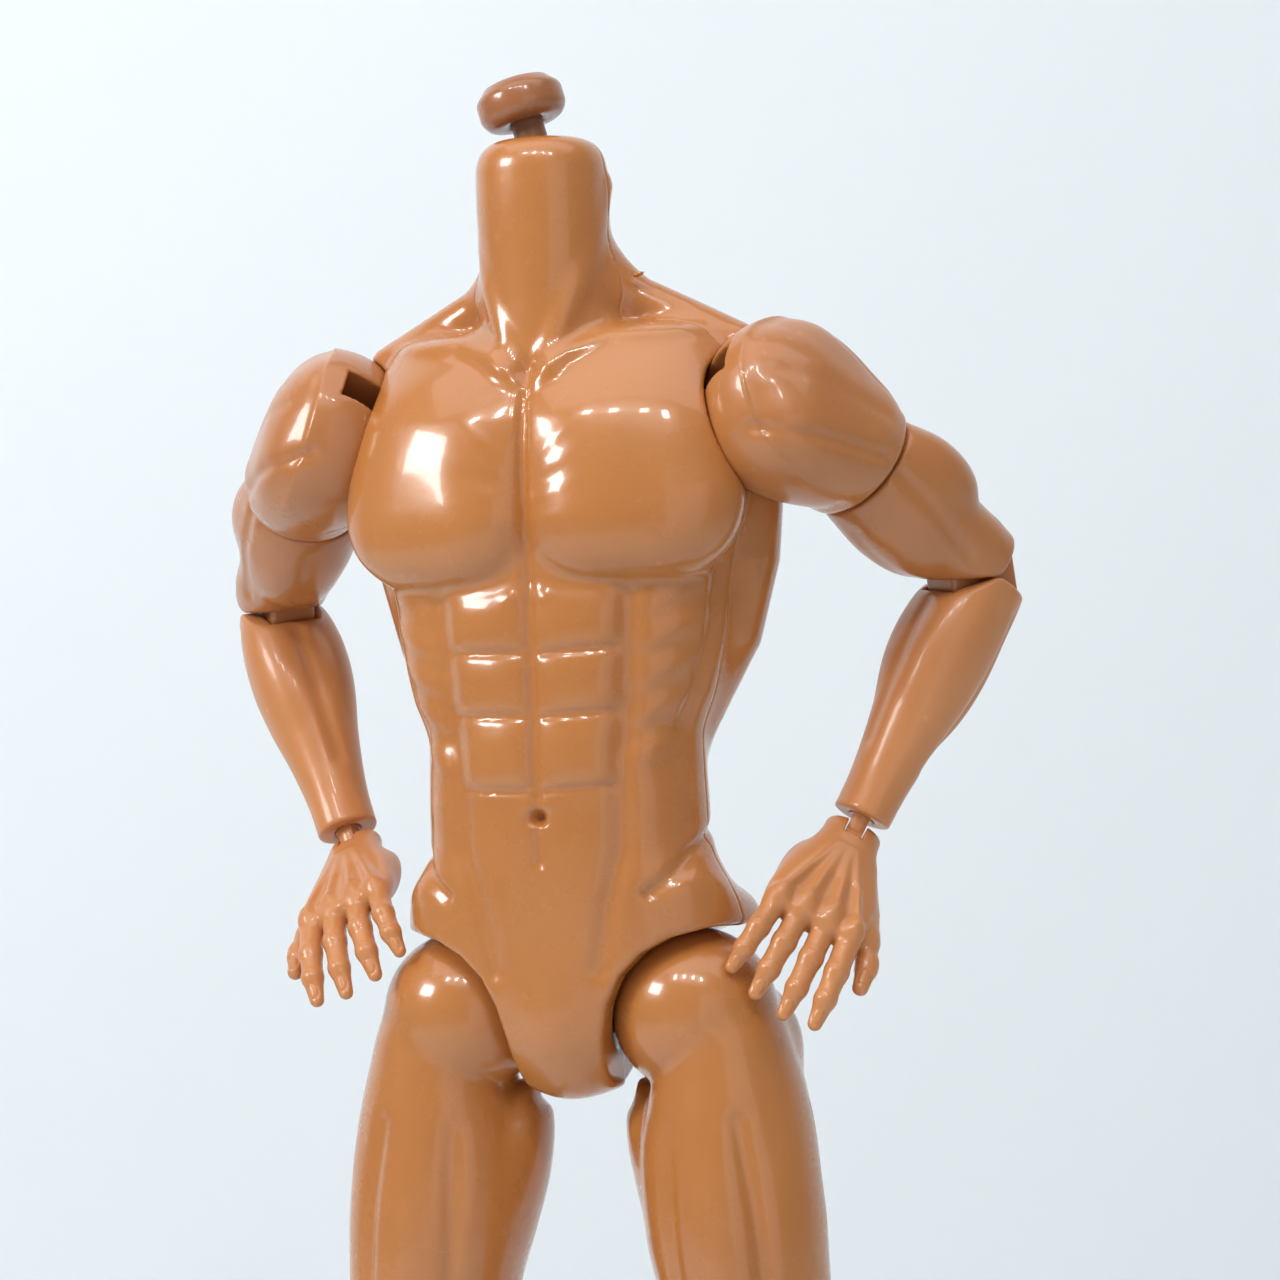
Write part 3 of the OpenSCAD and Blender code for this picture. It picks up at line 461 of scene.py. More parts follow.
def torso_field(p):
    x, y, z = np.abs(p[:, 0]), p[:, 1] - SEAM_Y, p[:, 2]
    q = np.stack([x, y, z], 1)
    front = np.clip(0.5 - y / 5, 0, 1)
    back = np.clip(0.5 + y / 5, 0, 1)
    body = column(q, TRUNK, 3.0)
    body = blend(body, chain(q, LAT), 2.6)
    body = blend(body, egg(q, (12.0, 9.0, 228.0), (12.5, 6.0, 9.0)), 3.0)
    body = blend(body, egg(q, (16.5, 5.0, 158.5), (6.6, 9.5, 5.6)), 2.0)
    body = blend(body, egg(q, (7.6, 9.6, 153.0), (7.8, 7.4, 9.5)), 2.0)
    neck = column(q, NECK, 4.4)
    muscle = chain(q, [(7.0, 1.0, 254, 1.9), (5.0, -4.6, 241, 2.0), (1.9, -8.2, 230.5, 1.5)])
    neck = blend(neck, muscle, 1.1)
    neck = blend(neck, egg(q, (0, 3.0, 240), (9.4, 7.4, 9.0)), 3.0)
    body = blend(body, chain(q, SHOULDER_RIDGE), 2.2)
    body = blend(body, neck, 3.2)
    chest = egg(q, (12.8, -5.9, 215.0), (13.8, 8.4, 12.7), (-15, 0, 14), power=2.5)
    chest = blend(chest, egg(q, (11.5, -4.6, 222.0), (12.5, 7.0, 10.5), (-24, 0, 10)), 4.0)
    chest = blend(chest, egg(q, (6.4, -8.6, 210.0), (7.6, 5.6, 7.0)), 3.0)
    body = blend(body, chest, np.interp(z, (207, 214, 224), (1.0, 2.4, 5.0)))
    body = body + belly_relief(x, z, front) + chest_relief(x, z, front)
    body = body + flank_relief(q, x, y, z) + back_relief(x, z, back)
    nub = chain(p, [(12.0, SEAM_Y, 242.2, 0.45), (12.9, SEAM_Y, 242.4, 0.3)])
    body = blend(body, nub, 0.3)

    shoulder = q - (SHOULDER[0], 0, SHOULDER[2])
    body = cut(body, np.sqrt((shoulder ** 2).sum(1)) - SHOULDER_CUP, 0.55)
    body = cut(body, rod(shoulder, 3.15, -SHOULDER[0] / 2, 0))
    hip = q - (HIP[0], 0, HIP[2])
    opening = np.where(y < 0, outline(x, z, FRONT_OPENING), outline(x, z, BACK_OPENING))
    body = cut(body, opening, 0.7)
    body = cut(body, np.sqrt((hip ** 2).sum(1)) - HIP_CUP, 0.5)
    body = cut(body, rod(hip, 2.65, -HIP[0], 0))
    socket = neck_socket(q)
    return cut(body, socket, 0.4)


def neck_socket(q):
    """Round seat of the neck's ball, and the cone above it that lets the stem lean."""
    z = q[:, 2] - NECK_BALL[2]
    radial = np.hypot(q[:, 0], q[:, 1])
    cone = np.where(z > 0, radial - 0.6 - 1.1 * z, 1e3)
    return np.minimum(np.sqrt(radial ** 2 + z * z) - 4.05, cone)


# ---------- arm ----------

def deltoid_field(p):
    seat = np.sqrt((p ** 2).sum(1)) - SHOULDER_BALL
    inner = np.maximum(seat, p[:, 0] - 1.5)
    outer = column(p, [
        (-12.5, 0.2, 0.0, 7.9, 8.2, 8.2, 2.1),
        (-9.5, 0.3, 0.0, 8.3, 9.6, 9.6, 2.1),
        (-5.0, -0.8, 0.0, 9.2, 10.8, 10.8, 2.1),
        (0.0, -1.8, 0.0, 9.7, 11.5, 11.5, 2.1),
        (4.0, -2.0, 0.0, 9.2, 11.0, 11.0, 2.1),
        (8.0, -1.6, 0.0, 7.0, 8.4, 8.4, 2.0),
        (11.4, -0.8, 0.0, 3.6, 4.0, 4.0, 2.0),
    ], 1.6)
    body = blend(inner, outer, 1.2)
    body = blend(body, egg(p, (1.0, -5.2, -2.5), (6.0, 6.3, 10.0), (8, 0, 0)), 1.6)
    body = blend(body, egg(p, (1.0, 5.4, -2.0), (5.6, 6.0, 9.6), (-8, 0, 0)), 1.6)
    body = body + groove(p, [(0.5, -9.5, 7.0), (5.6, -8.6, 0.5), (7.4, -4.6, -10.5)], 1.0, 0.5)
    body = body + groove(p, [(0.0, 10.0, 6.0), (5.6, 8.6, -1.0), (7.2, 4.8, -10.5)], 1.0, 0.5)
    body = body + groove(p, [(4.5, -3.0, 9.0), (7.2, -1.5, 2.0), (8.0, 0.0, -8.0)], 1.3, 0.2)
    body = body + groove(p, [(-6.0, -8.0, -9.5), (0.0, -9.6, -9.8)], 1.2, 0.25)
    flat = np.abs(p[:, 1]) - 2.15
    slot = outline(p[:, 0], p[:, 2], [
        (0.5, 3.1), (-14.0, 5.1), (-13.0, 18.0), (-3.0, 16.0), (3.1, 1.0), (-0.5, -3.1),
        (-14.0, -1.2)])
    eye = np.hypot(p[:, 0], p[:, 2]) - 3.85
    body = cut(body, np.maximum(flat, np.minimum(slot, eye)), 0.3)
    body = cut(body, rod(p, 1.22, -7.6, 20, axis=1), 0.2)
    body = cut(body, rod(p, 2.6, -20, -8.0, axis=2), 0.2)
    return cut(body, p[:, 2] + ARM_CUT, 0.6)


def upper_arm_field(p):
    top = -ARM_CUT - 0.2
    end = -ARM - ELBOW["slot"]
    body = column(p, [
        (end, 0, 0.0, 5.6, 5.4, 5.6, 2.3),
        (-ARM, 0, 0.0, 5.9, 5.7, 6.0, 2.3),
        (-ARM + 4, 0, -0.1, 6.3, 6.3, 6.3, 2.2),
        (-ARM + 9, 0, -0.3, 7.2, 7.3, 7.0, 2.1),
        (-ARM + 14, 0, -0.3, 7.9, 7.9, 7.7, 2.1),
        (top - 2.5, 0, -0.1, 7.9, 7.9, 7.7, 2.1),
        (top, 0, 0.0, 7.5, 7.6, 7.5, 2.1),
    ], 0.5)
    body = blend(body, egg(p, (0.6, -3.9, -21.0), (5.6, 4.9, 8.6), power=2.2), 1.2)
    body = blend(body, egg(p, (3.3, 3.6, -19.5), (4.6, 4.8, 8.4), (4, 0, 0)), 1.2)
    body = blend(body, egg(p, (-2.8, 3.9, -20.0), (4.5, 4.4, 9.0), (-4, 0, 0)), 1.2)
    body = body + groove(p, [(7.6, -0.6, -14), (7.7, -1.2, -21), (6.3, -2.2, -30)], 1.0, 0.6)
    body = body + groove(p, [(-7.6, -0.4, -14), (-7.6, -0.9, -22), (-6.2, -1.6, -30)], 1.0, 0.6)
    body = body + groove(p, [(0.2, 8.2, -17), (0.3, 8.0, -23), (0.0, 6.8, -29)], 1.1, 0.5)
    body = body + groove(p, [(1.2, -8.7, -16), (1.0, -8.8, -24), (0.4, -6.8, -29.5)], 1.2, 0.22)
    body = body + swell(p, (5.6, 1.5, -ARM + 1.0), (2.2, 3.0, 3.0), 0.35)
    at_pin = p + (0, 0, ARM)
    body = cut(body, bone_end(at_pin, ELBOW, -1), 0.45)
    body = cut(body, plate_room(at_pin, ELBOW, -1), 0.25)
    return cut(body, -p[:, 2] + top, 0.5)


def forearm_field(p):
    v = 4.05
    body = column(p, [
        (-FOREARM, 0, 0.0, v, 3.5, 3.5, 2.2),
        (-FOREARM + 5, 0, 0.0, v + 0.1, 3.7, 3.7, 2.2),
        (-FOREARM + 11, 0, 0.0, 4.9, 4.5, 4.4, 2.1),
        (-FOREARM + 18, 0.1, 0.0, 6.1, 5.7, 5.4, 2.1),
        (-9.5, 0.2, 0.0, 6.6, 6.4, 5.9, 2.1),
        (-3.0, 0.1, 0.0, 6.3, 6.3, 6.1, 2.2),
        (0.0, 0, 0.0, 5.9, 5.9, 6.0, 2.3),
        (5.4, 0, 0.0, 5.4, 5.3, 5.6, 2.3),
    ], 0.5)
    body = blend(body, egg(p, (3.3, -1.8, -8.0), (3.7, 4.5, 11.0), (0, 4, 0)), 1.2)
    body = blend(body, egg(p, (-3.1, -1.0, -9.0), (3.8, 5.0, 10.5), (0, -4, 0)), 1.2)
    body = blend(body, egg(p, (0.6, 2.9, -10.0), (4.0, 3.6, 11.0)), 1.0)
    body = body + groove(p, [(0.4, -6.8, -2), (0.2, -6.4, -12), (-0.6, -4.6, -24)], 1.0, 0.5)
    body = body + groove(p, [(4.4, 4.2, -1), (4.2, 4.2, -12), (2.6, 3.2, -24)], 0.9, 0.4)
    body = body + groove(p, [(-3.6, 4.6, -1), (-3.4, 4.6, -12), (-2.4, 3.2, -25)], 0.9, 0.4)
    body = body + swell(p, (-3.6, 1.6, -FOREARM + 3.6), (1.5, 1.6, 2.4), 0.35)
    body = body + swell(p, (0.0, 5.8, 0.4), (2.6, 2.0, 2.6), 0.5)
    upside = p * (1, 1, -1)
    body = cut(body, bone_end(upside, ELBOW, -1), 0.45)
    body = cut(body, plate_room(upside, ELBOW, -1), 0.25)
    body = cut(body, rod(p, 1.75, -60, -FOREARM + 5.1, axis=2), 0.2)
    return cut(body, p[:, 2] + FOREARM, 0.5)


PALM = 15.0
PALM_W = 14.0
# Sideways place of each knuckle as a share of the palm, length, splay and curl of each finger
FINGERS = [(-0.37, 12.4, 4, 30), (-0.13, 13.6, 1, 33), (0.12, 12.8, -3, 36), (0.36, 10.6, -8, 38)]
FINGER_R = 1.52


def finger_joints(share, long, splay, curl):
    """Knuckle, two finger joints and the tip, bent forward by curl in three steps."""
    place = np.array((share * PALM_W, 0.2, -PALM + 1.6 - 1.6 * share ** 2 * 4))
    points, angle = [place], 0.10 * curl
    for part in (0.43, 0.31, 0.26):
        angle += curl * 0.32
        a, s = math.radians(angle), math.radians(splay)
        step = np.array((-math.sin(s) * math.cos(a), -math.sin(a), -math.cos(s) * math.cos(a)))
        place = place + step * long * part
        points.append(place)
    return points, math.radians(angle)


def hand_field(p):
    body = column(p, [
        (-PALM - 0.6, 0.2, -0.2, 6.4, 1.7, 1.9, 2.5),
        (-PALM + 2.6, 0.1, -0.2, 6.9, 2.4, 2.3, 2.5),
        (-PALM * 0.55, -0.1, -0.1, 6.4, 2.8, 2.3, 2.4),
        (-PALM * 0.25, 0, 0, 4.9, 2.8, 2.5, 2.2),
        (0.0, 0, 0, 3.9, 2.6, 2.6, 2.2),
        (2.2, 0, 0, 3.8, 2.1, 2.1, 2.2),
    ], 1.2)
    thumb_ball = chain(p, [(-3.2, -1.4, -3.5, 2.1), (-5.6, -2.2, -8.4, 2.3), (-7.6, -2.2, -12.0, 1.6)])
    body = blend(body, thumb_ball, 1.4)
    body = blend(body, egg(p, (4.2, -1.6, -7.4), (2.5, 2.0, 5.6)), 1.4)
    thumb = [(-7.2, -1.8, -11.6, 1.55), (-8.8, -2.2, -15.4, 1.4), (-9.2, -2.6, -18.6, 1.05)]
    body = blend(body, chain(p, thumb), 0.9)
    body = blend(body, chain(p, [(-8.7, -2.1, -15.0, 1.5), (-8.9, -2.3, -15.8, 1.48)]), 0.4)
    fingers = np.full(len(p), 1e3)
    for share, long, splay, curl in FINGERS:
        points, _ = finger_joints(share, long, splay, curl)
        small = 0.93 if share > 0.3 else 1.0
        radii = [FINGER_R * small * f for f in (1.06, 0.98, 0.9, 0.62)]
        bar = chain(p, [(*point, r) for point, r in zip(points, radii)])
        for point, r in zip(points[1:3], radii[1:3]):
            lump = np.sqrt(((p - point - (0, 0.14, 0)) ** 2).sum(1)) - r * 1.07
            bar = blend(bar, lump, 0.5)
        knuckle = np.sqrt(((p - points[0] - (0, 0.75, 0.4)) ** 2).sum(1)) - 1.45 * small
        bar = blend(bar, knuckle, 0.7)
        for k in (1, 2):
            x, y, z = points[k]
            for up in (-0.32, 0.32):
                bar = bar + swell(p, (x, y + radii[k], z + up), (1.1, 0.6, 0.13), -0.10)
        fingers = blend(fingers, bar, 0.18)
        wrist = (share * 4.0, 1.9, -3.2)
        tendon = chain(p, [(*wrist, 0.35), (points[0][0], points[0][1] + 1.7, points[0][2] + 1.2, 0.5)])
        body = blend(body, tendon, 0.9)
        if share < 0.3:
            x = points[0][0] + 1.75
            body = body + groove(p, [(x * 0.8, 2.6, -8.5), (x, 2.4, -PALM + 0.6)], 0.7, 0.35)
    body = blend(body, fingers, 0.9)
    body = body + wrist_crease(p)
    for x, y, z, lean, wide in nail_places():
        q = turned(p, (x, y, z), (lean, 0, 0))
        nail = np.sqrt((q[:, 0] / wide) ** 2 + (q[:, 2] / 1.05) ** 2)
        body = body + 0.13 * np.exp(-((nail - 1) / 0.16) ** 2) * (np.abs(q[:, 1]) < 1.0)
    slot = np.maximum(np.abs(p[:, 0]) - 1.3, np.minimum(
        np.hypot(p[:, 1], p[:, 2]) - 2.45, np.maximum(-p[:, 2] - 0.6, np.abs(p[:, 1]) - 4)))
    body = cut(body, slot, 0.2)
    return cut(body, rod(p, 0.61, -3.2, 3.2), 0.12)


def wrist_crease(p):
    return groove(p, [(-3.8, -2.6, -2.6), (3.8, -2.6, -2.6)], 0.5, 0.18)


def nail_places():
    """Middle of each nail, how it leans, and half its width."""
    nails = []
    for share, long, splay, curl in FINGERS:
        points, angle = finger_joints(share, long, splay, curl)
        x, y, z = points[2] * 0.28 + points[3] * 0.72
        up = np.array((0, math.cos(angle), -math.sin(angle))) * FINGER_R * 0.68
        nails.append((x, y + up[1], z + up[2], -math.degrees(angle), 0.72))
    nails.append((-9.1, -1.5, -17.8, -10, 0.8))
    return nails


# ---------- leg ----------

def thigh_field(p):
    head = np.sqrt((p ** 2).sum(1)) - HIP_BALL
    end = -THIGH - KNEE["slot"]
    body = column(p, [
        (end, 0, 0.0, 7.5, 7.6, 7.6, 2.3),
        (-THIGH, 0, 0.0, 8.1, 8.3, 7.9, 2.3),
        (-THIGH + 7, 0.1, -0.2, 8.6, 9.0, 8.4, 2.2),
        (-THIGH + 18, 0.3, -0.4, 9.6, 10.4, 9.6, 2.1),
        (-THIGH + 32, 0.6, -0.4, 10.8, 11.6, 10.8, 2.1),
        (-27.0, 0.9, -0.3, 11.5, 11.9, 11.6, 2.1),
        (-16.0, 1.6, 0.0, 11.2, 11.4, 11.8, 2.05),
        (-8.0, 2.6, 0.0, 9.4, 10.2, 10.8, 2.0),
        (-1.0, 3.0, 0.0, 7.6, 8.8, 9.2, 2.0),
        (4.0, 2.6, 0.0, 5.0, 6.0, 7.0, 2.0),
    ], 2.0)
    body = blend(body, egg(p, (1.8, -4.8, -31.0), (6.2, 8.0, 25.0)), 1.6)
    body = blend(body, egg(p, (6.2, -1.6, -34.0), (5.6, 8.2, 25.0), (0, 5, 0)), 1.6)
    body = blend(body, egg(p, (-5.4, -3.2, -THIGH + 15.0), (4.6, 6.4, 11.0), (0, -8, 0)), 1.4)
    body = blend(body, egg(p, (-6.6, 2.4, -23.0), (5.0, 7.4, 15.5), (0, -10, 0)), 1.6)
    body = blend(body, egg(p, (-2.6, 5.6, -36.0), (5.4, 6.4, 24.0)), 1.6)
    body = blend(body, egg(p, (4.0, 5.6, -36.0), (5.2, 6.2, 24.0)), 1.6)
    body = blend(body, egg(p, (3.0, 6.4, -6.0), (8.4, 7.2, 9.4)), 2.0)
    body = body + groove(p, [(-3.4, -10.6, -14), (-4.4, -10.4, -30), (-4.0, -9.2, -46)], 1.3, 0.55)
    body = body + groove(p, [(6.4, -9.8, -14), (6.2, -10.4, -32), (4.4, -9.2, -50)], 1.3, 0.5)
    body = body + groove(p, [(11.8, 3.0, -14), (11.6, 3.0, -34), (8.8, 3.0, -56)], 1.3, 0.6)
    body = body + groove(p, [(0.6, 12.0, -18), (0.7, 11.6, -40), (0.4, 9.0, -58)], 1.3, 0.7)
    body = body + groove(p, [(-4, 12.6, -13.5), (4, 13.6, -14.5), (10, 9.8, -13.0)], 1.2, 0.8)
    notch = chain(p, [(-9.6, -7.0, -10.4, 0.0), (-11.4, 0.0, -9.6, 0.0), (-9.4, 6.0, -10.4, 0.0)])
    body = blend(body, head, 0.9) + 1.15 * np.exp(-(notch / 1.5) ** 2)
    body = body + swell(p, (0.0, -8.6, -THIGH - 1.0), (4.2, 3.0, 4.4), 0.6)
    body = cut(body, tongue_room(p), 0.3)
    body = cut(body, rod(p, 1.22, -7.2, 20, axis=1), 0.2)
    at_pin = p + (0, 0, THIGH)
    body = cut(body, bone_end(at_pin, KNEE, 1), 0.5)
    return cut(body, plate_room(at_pin, KNEE, 1), 0.3)


def tongue_room(p):
    """Slot in the head of the thigh for the flat tongue of the hub."""
    fan = outline(p[:, 0], p[:, 2], [(0.0, 2.7), (-13.6, 3.2), (-15.0, 14.0), (-8.0, 17.0), (1.8, 2.2),
                                     (0.0, -2.7), (-13.6, -2.2)])
    eye = np.hypot(p[:, 0], p[:, 2]) - 3.55
    return np.maximum(np.abs(p[:, 1]) - 2.15, np.minimum(fan, eye))


def shin_field(p):
    body = column(p, [
        (-SHIN, 0, 0.2, 5.0, 5.0, 5.2, 2.1),
        (-SHIN + 6, 0, 0.4, 5.0, 5.0, 5.3, 2.1),
        (-SHIN + 18, 0, 0.6, 6.2, 6.0, 6.4, 2.1),
        (-SHIN + 32, 0, 0.8, 7.8, 7.2, 8.2, 2.1),
        (-11.0, 0, 0.4, 8.1, 7.4, 8.4, 2.2),
        (0.0, 0, 0.0, 8.0, 8.0, 7.8, 2.3),
        (7.0, 0, 0.0, 7.5, 7.5, 7.5, 2.3),
    ], 0.6)
    body = blend(body, egg(p, (-3.4, 3.6, -15.0), (4.8, 5.8, 13.0), (0, -3, 0)), 1.4)
    body = blend(body, egg(p, (3.6, 3.6, -13.5), (4.6, 5.6, 12.0), (0, 3, 0)), 1.4)
    body = blend(body, egg(p, (3.2, -3.0, -18.0), (3.6, 4.6, 17.0)), 1.2)
    body = blend(body, egg(p, (0.0, -5.2, -1.5), (4.4, 4.0, 4.0)), 1.2)
    body = body + groove(p, [(0, 9.8, -5), (0, 10.0, -18), (0, 8.2, -27)], 1.2, 0.7)
    body = body + groove(p, [(-2.6, -6.6, -8), (-2.2, -6.2, -26), (-1.6, -4.8, -42)], 1.2, 0.45)
    body = body + groove(p, [(6.8, 1.0, -8), (6.6, 1.0, -24), (4.6, 1.0, -38)], 1.1, 0.45)
    upside = p * (1, 1, -1)
    body = cut(body, bone_end(upside, KNEE, 1), 0.5)
    body = cut(body, plate_room(upside, KNEE, 1), 0.3)
    body = cut(body, rod(p, 2.05, -80, -SHIN + 5.1, axis=2), 0.2)
    return cut(body, p[:, 2] + SHIN, 0.5)


# Sideways place, reach in front of the ankle, and radius of each toe, from the big toe
TOES = [(-4.9, 33.0, 2.45), (-0.9, 33.4, 1.75), (2.1, 32.0, 1.6), (4.8, 30.2, 1.5), (7.0, 27.6, 1.4)]


def foot_field(p):
    body = chain(p, [(0, 4.6, 4.6, 4.5), (0.4, -4.0, 6.0, 4.4), (-0.6, -14.0, 4.4, 3.8)])
    body = blend(body, egg(p, (0.2, 4.0, 3.9), (5.2, 5.4, 4.0)), 1.6)
    body = blend(body, egg(p, (-0.2, -12.0, 2.6), (6.9, 15.0, 3.6)), 2.0)
    body = blend(body, egg(p, (-3.0, -24.6, 2.2), (4.6, 4.6, 3.0)), 1.6)
    body = blend(body, egg(p, (4.2, -20.0, 2.0), (4.0, 6.0, 2.6)), 1.6)
    ankle = column(p, [
        (2.0, 0, 0.4, 4.4, 6.6, 5.2, 2.1),
        (7.0, 0, 0.3, 4.5, 6.8, 5.4, 2.1),
        (11.0, 0, 0.3, 4.7, 5.6, 5.4, 2.0),
        (ANKLE_Z + 2.4, 0, 0.2, 4.7, 4.8, 4.9, 2.0),
    ], 1.0)
    body = blend(body, ankle, 1.8)
    for side in (-1, 1):
        body = blend(body, egg(p, (side * 4.3, 0.8 - side * 0.4, 12.2), (1.5, 2.0, 2.0)), 0.8)
    toes = np.full(len(p), 1e3)
    for x, reach, r in TOES:
        toe = chain(p, [(x * 0.92, -reach + 9.5, 2.5, r), (x, -reach + 4.2, r + 0.5, r * 0.98),
                        (x, -reach + r * 0.9, r * 0.9, r * 0.86)])
        toes = blend(toes, toe, 0.15)
        nail = egg(p, (x, -reach + r * 1.0, r * 1.72), (r * 0.62, r * 0.72, 0.35))
        toes = toes + 0.12 * np.exp(-(nail / 0.2) ** 2)
    body = blend(body, toes, 1.0)
    floor = 0.02 - p[:, 2]
    body = cut(body, egg(p, (-9.6, -10.0, -1.2), (5.6, 8.5, 3.4)), 1.2)
    at_pin = p - (0, 0, ANKLE_Z)
    slot = np.maximum(np.abs(at_pin[:, 0]) - 1.65, np.minimum(
        np.hypot(at_pin[:, 1], at_pin[:, 2]) - 2.7, np.maximum(-at_pin[:, 2], -at_pin[:, 1] - 2.9)))
    body = cut(body, slot, 0.25)
    body = cut(body, rod(at_pin, 0.81, -4, 4), 0.15)
    return -blend(-body, -floor, 0.8)


# ---------- objects ----------

def mesh_object(name, vertices, faces, matrix=None, mirrored=False):
    """Mesh in metres from points in millimetres in a part's own axes."""
    if matrix is not None:
        vertices = vertices @ matrix[:3, :3].T + matrix[:3, 3]
    if mirrored:
        vertices = vertices * (-1, 1, 1)
        faces = faces[:, ::-1]
    mesh = bpy.data.meshes.new(name)
    mesh.from_pydata((vertices * MM).tolist(), [], faces.tolist())
    mesh.update()
    mesh.shade_smooth()
    piece = bpy.data.objects.new(name, mesh)
    bpy.context.collection.objects.link(piece)
    return piece


def halve(name, vertices, faces, keep):
    """Half of the torso, cut at the moulding seam and closed there; keep is -1 front, 1 back."""
    piece = mesh_object(name, vertices, faces)
    work = bmesh.new()
    work.from_mesh(piece.data)
    at = (SEAM_Y + keep * 0.03) * MM
    everything = work.verts[:] + work.edges[:] + work.faces[:]
    result = bmesh.ops.bisect_plane(work, geom=everything, dist=1e-7, plane_co=(0, at, 0),
                                    plane_no=(0, -keep, 0), clear_outer=True)
    rim = [e for e in result["geom_cut"] if isinstance(e, bmesh.types.BMEdge)]
    corners = {v for e in rim for v in e.verts}
    for v in corners:
        v.normal_update()
    inward = {v: Vector((v.normal.x, 0, v.normal.z)).normalized() * 0.09 * MM for v in corners}
    for v, move in inward.items():
        v.co -= move
    closed = bmesh.ops.triangle_fill(work, edges=rim, use_beauty=True)
    caps = [f for f in closed["geom"] if isinstance(f, bmesh.types.BMFace)]
    for face in caps:
        face.normal_update()
        if face.normal.y * -keep < 0:
            face.normal_flip()
        face.smooth = False
    for edge in rim:
        edge.smooth = False
    work.to_mesh(piece.data)
    work.free()
    return piece


def lathe(name, profile, matrix, around=72):
    """Turned body about its own Z from (radius, height) points, closed at the axis."""
    vertices, faces = [], []
    for radius, height in profile:
        for k in range(around):
            a = 2 * math.pi * k / around
            vertices.append((radius * math.cos(a), radius * math.sin(a), height))
    for row in range(len(profile) - 1):
        for k in range(around):
            a, b = row * around + k, row * around + (k + 1) % around
            faces.append((a, b, b + around, a + around))
    return mesh_object(name, np.array(vertices), np.array(faces), matrix)


# ---------- materials ----------

def plastic(name, colour, shade, roughness, coat, fine, parting=0.0):
    """Moulded plastic: mottled colour, uneven gloss, fine ripple, and paler worn edges."""
    material = bpy.data.materials.new(name)
    material.use_nodes = True
    tree = material.node_tree
    new, link = tree.nodes.new, tree.links.new
    shader = tree.nodes["Principled BSDF"]
    place = new("ShaderNodeTexCoord")

    def noise(scale, detail, roughness=0.5):
        node = new("ShaderNodeTexNoise")
        node.inputs["Scale"].default_value = scale
        node.inputs["Detail"].default_value = detail
        node.inputs["Roughness"].default_value = roughness
        link(place.outputs["Object"], node.inputs["Vector"])
        return node

    broad = noise(38, 3)
    ramp = new("ShaderNodeValToRGB")
    ramp.color_ramp.elements[0].position = 0.3
    ramp.color_ramp.elements[1].position = 0.72
    ramp.color_ramp.elements[0].color = (*shade, 1)
    ramp.color_ramp.elements[1].color = (*colour, 1)
    link(broad.outputs["Fac"], ramp.inputs["Fac"])
    edge = new("ShaderNodeNewGeometry")
    worn = new("ShaderNodeMapRange")
    worn.inputs["From Min"].default_value = 0.53
    worn.inputs["From Max"].default_value = 0.66
    worn.inputs["To Max"].default_value = 0.28
    link(edge.outputs["Pointiness"], worn.inputs["Value"])
    pale = new("ShaderNodeMix")
    pale.data_type = "RGBA"
    pale.inputs["B"].default_value = (*[min(1, c * 1.35 + 0.03) for c in colour], 1)
    link(worn.outputs["Result"], pale.inputs["Factor"])
    link(ramp.outputs["Color"], pale.inputs["A"])
    link(pale.outputs["Result"], shader.inputs["Base Color"])
    gloss = noise(95, 4, 0.6)
    rough = new("ShaderNodeMapRange")
    rough.inputs["From Min"].default_value = 0.3
    rough.inputs["From Max"].default_value = 0.7
    rough.inputs["To Min"].default_value = roughness - 0.05
    rough.inputs["To Max"].default_value = roughness + 0.07
    link(gloss.outputs["Fac"], rough.inputs["Value"])
    link(rough.outputs["Result"], shader.inputs["Roughness"])
    ripple = noise(260, 3)
    grain = noise(2600, 2)
    coarse = new("ShaderNodeBump")
    coarse.inputs["Strength"].default_value = fine
    coarse.inputs["Distance"].default_value = 0.0004
    link(ripple.outputs["Fac"], coarse.inputs["Height"])
    bump = new("ShaderNodeBump")
    bump.inputs["Strength"].default_value = fine * 0.35
    bump.inputs["Distance"].default_value = 0.00005
    link(grain.outputs["Fac"], bump.inputs["Height"])
    link(coarse.outputs["Normal"], bump.inputs["Normal"])
    link(bump.outputs["Normal"], shader.inputs["Normal"])
    shader.inputs["IOR"].default_value = 1.5
    shader.inputs["Coat Weight"].default_value = coat
    shader.inputs["Coat Roughness"].default_value = 0.07
    shader.inputs["Subsurface Weight"].default_value = 0.06
    shader.inputs["Subsurface Radius"].default_value = (0.0012, 0.0006, 0.0003)
    shader.inputs["Subsurface Scale"].default_value = 1.0
    return material


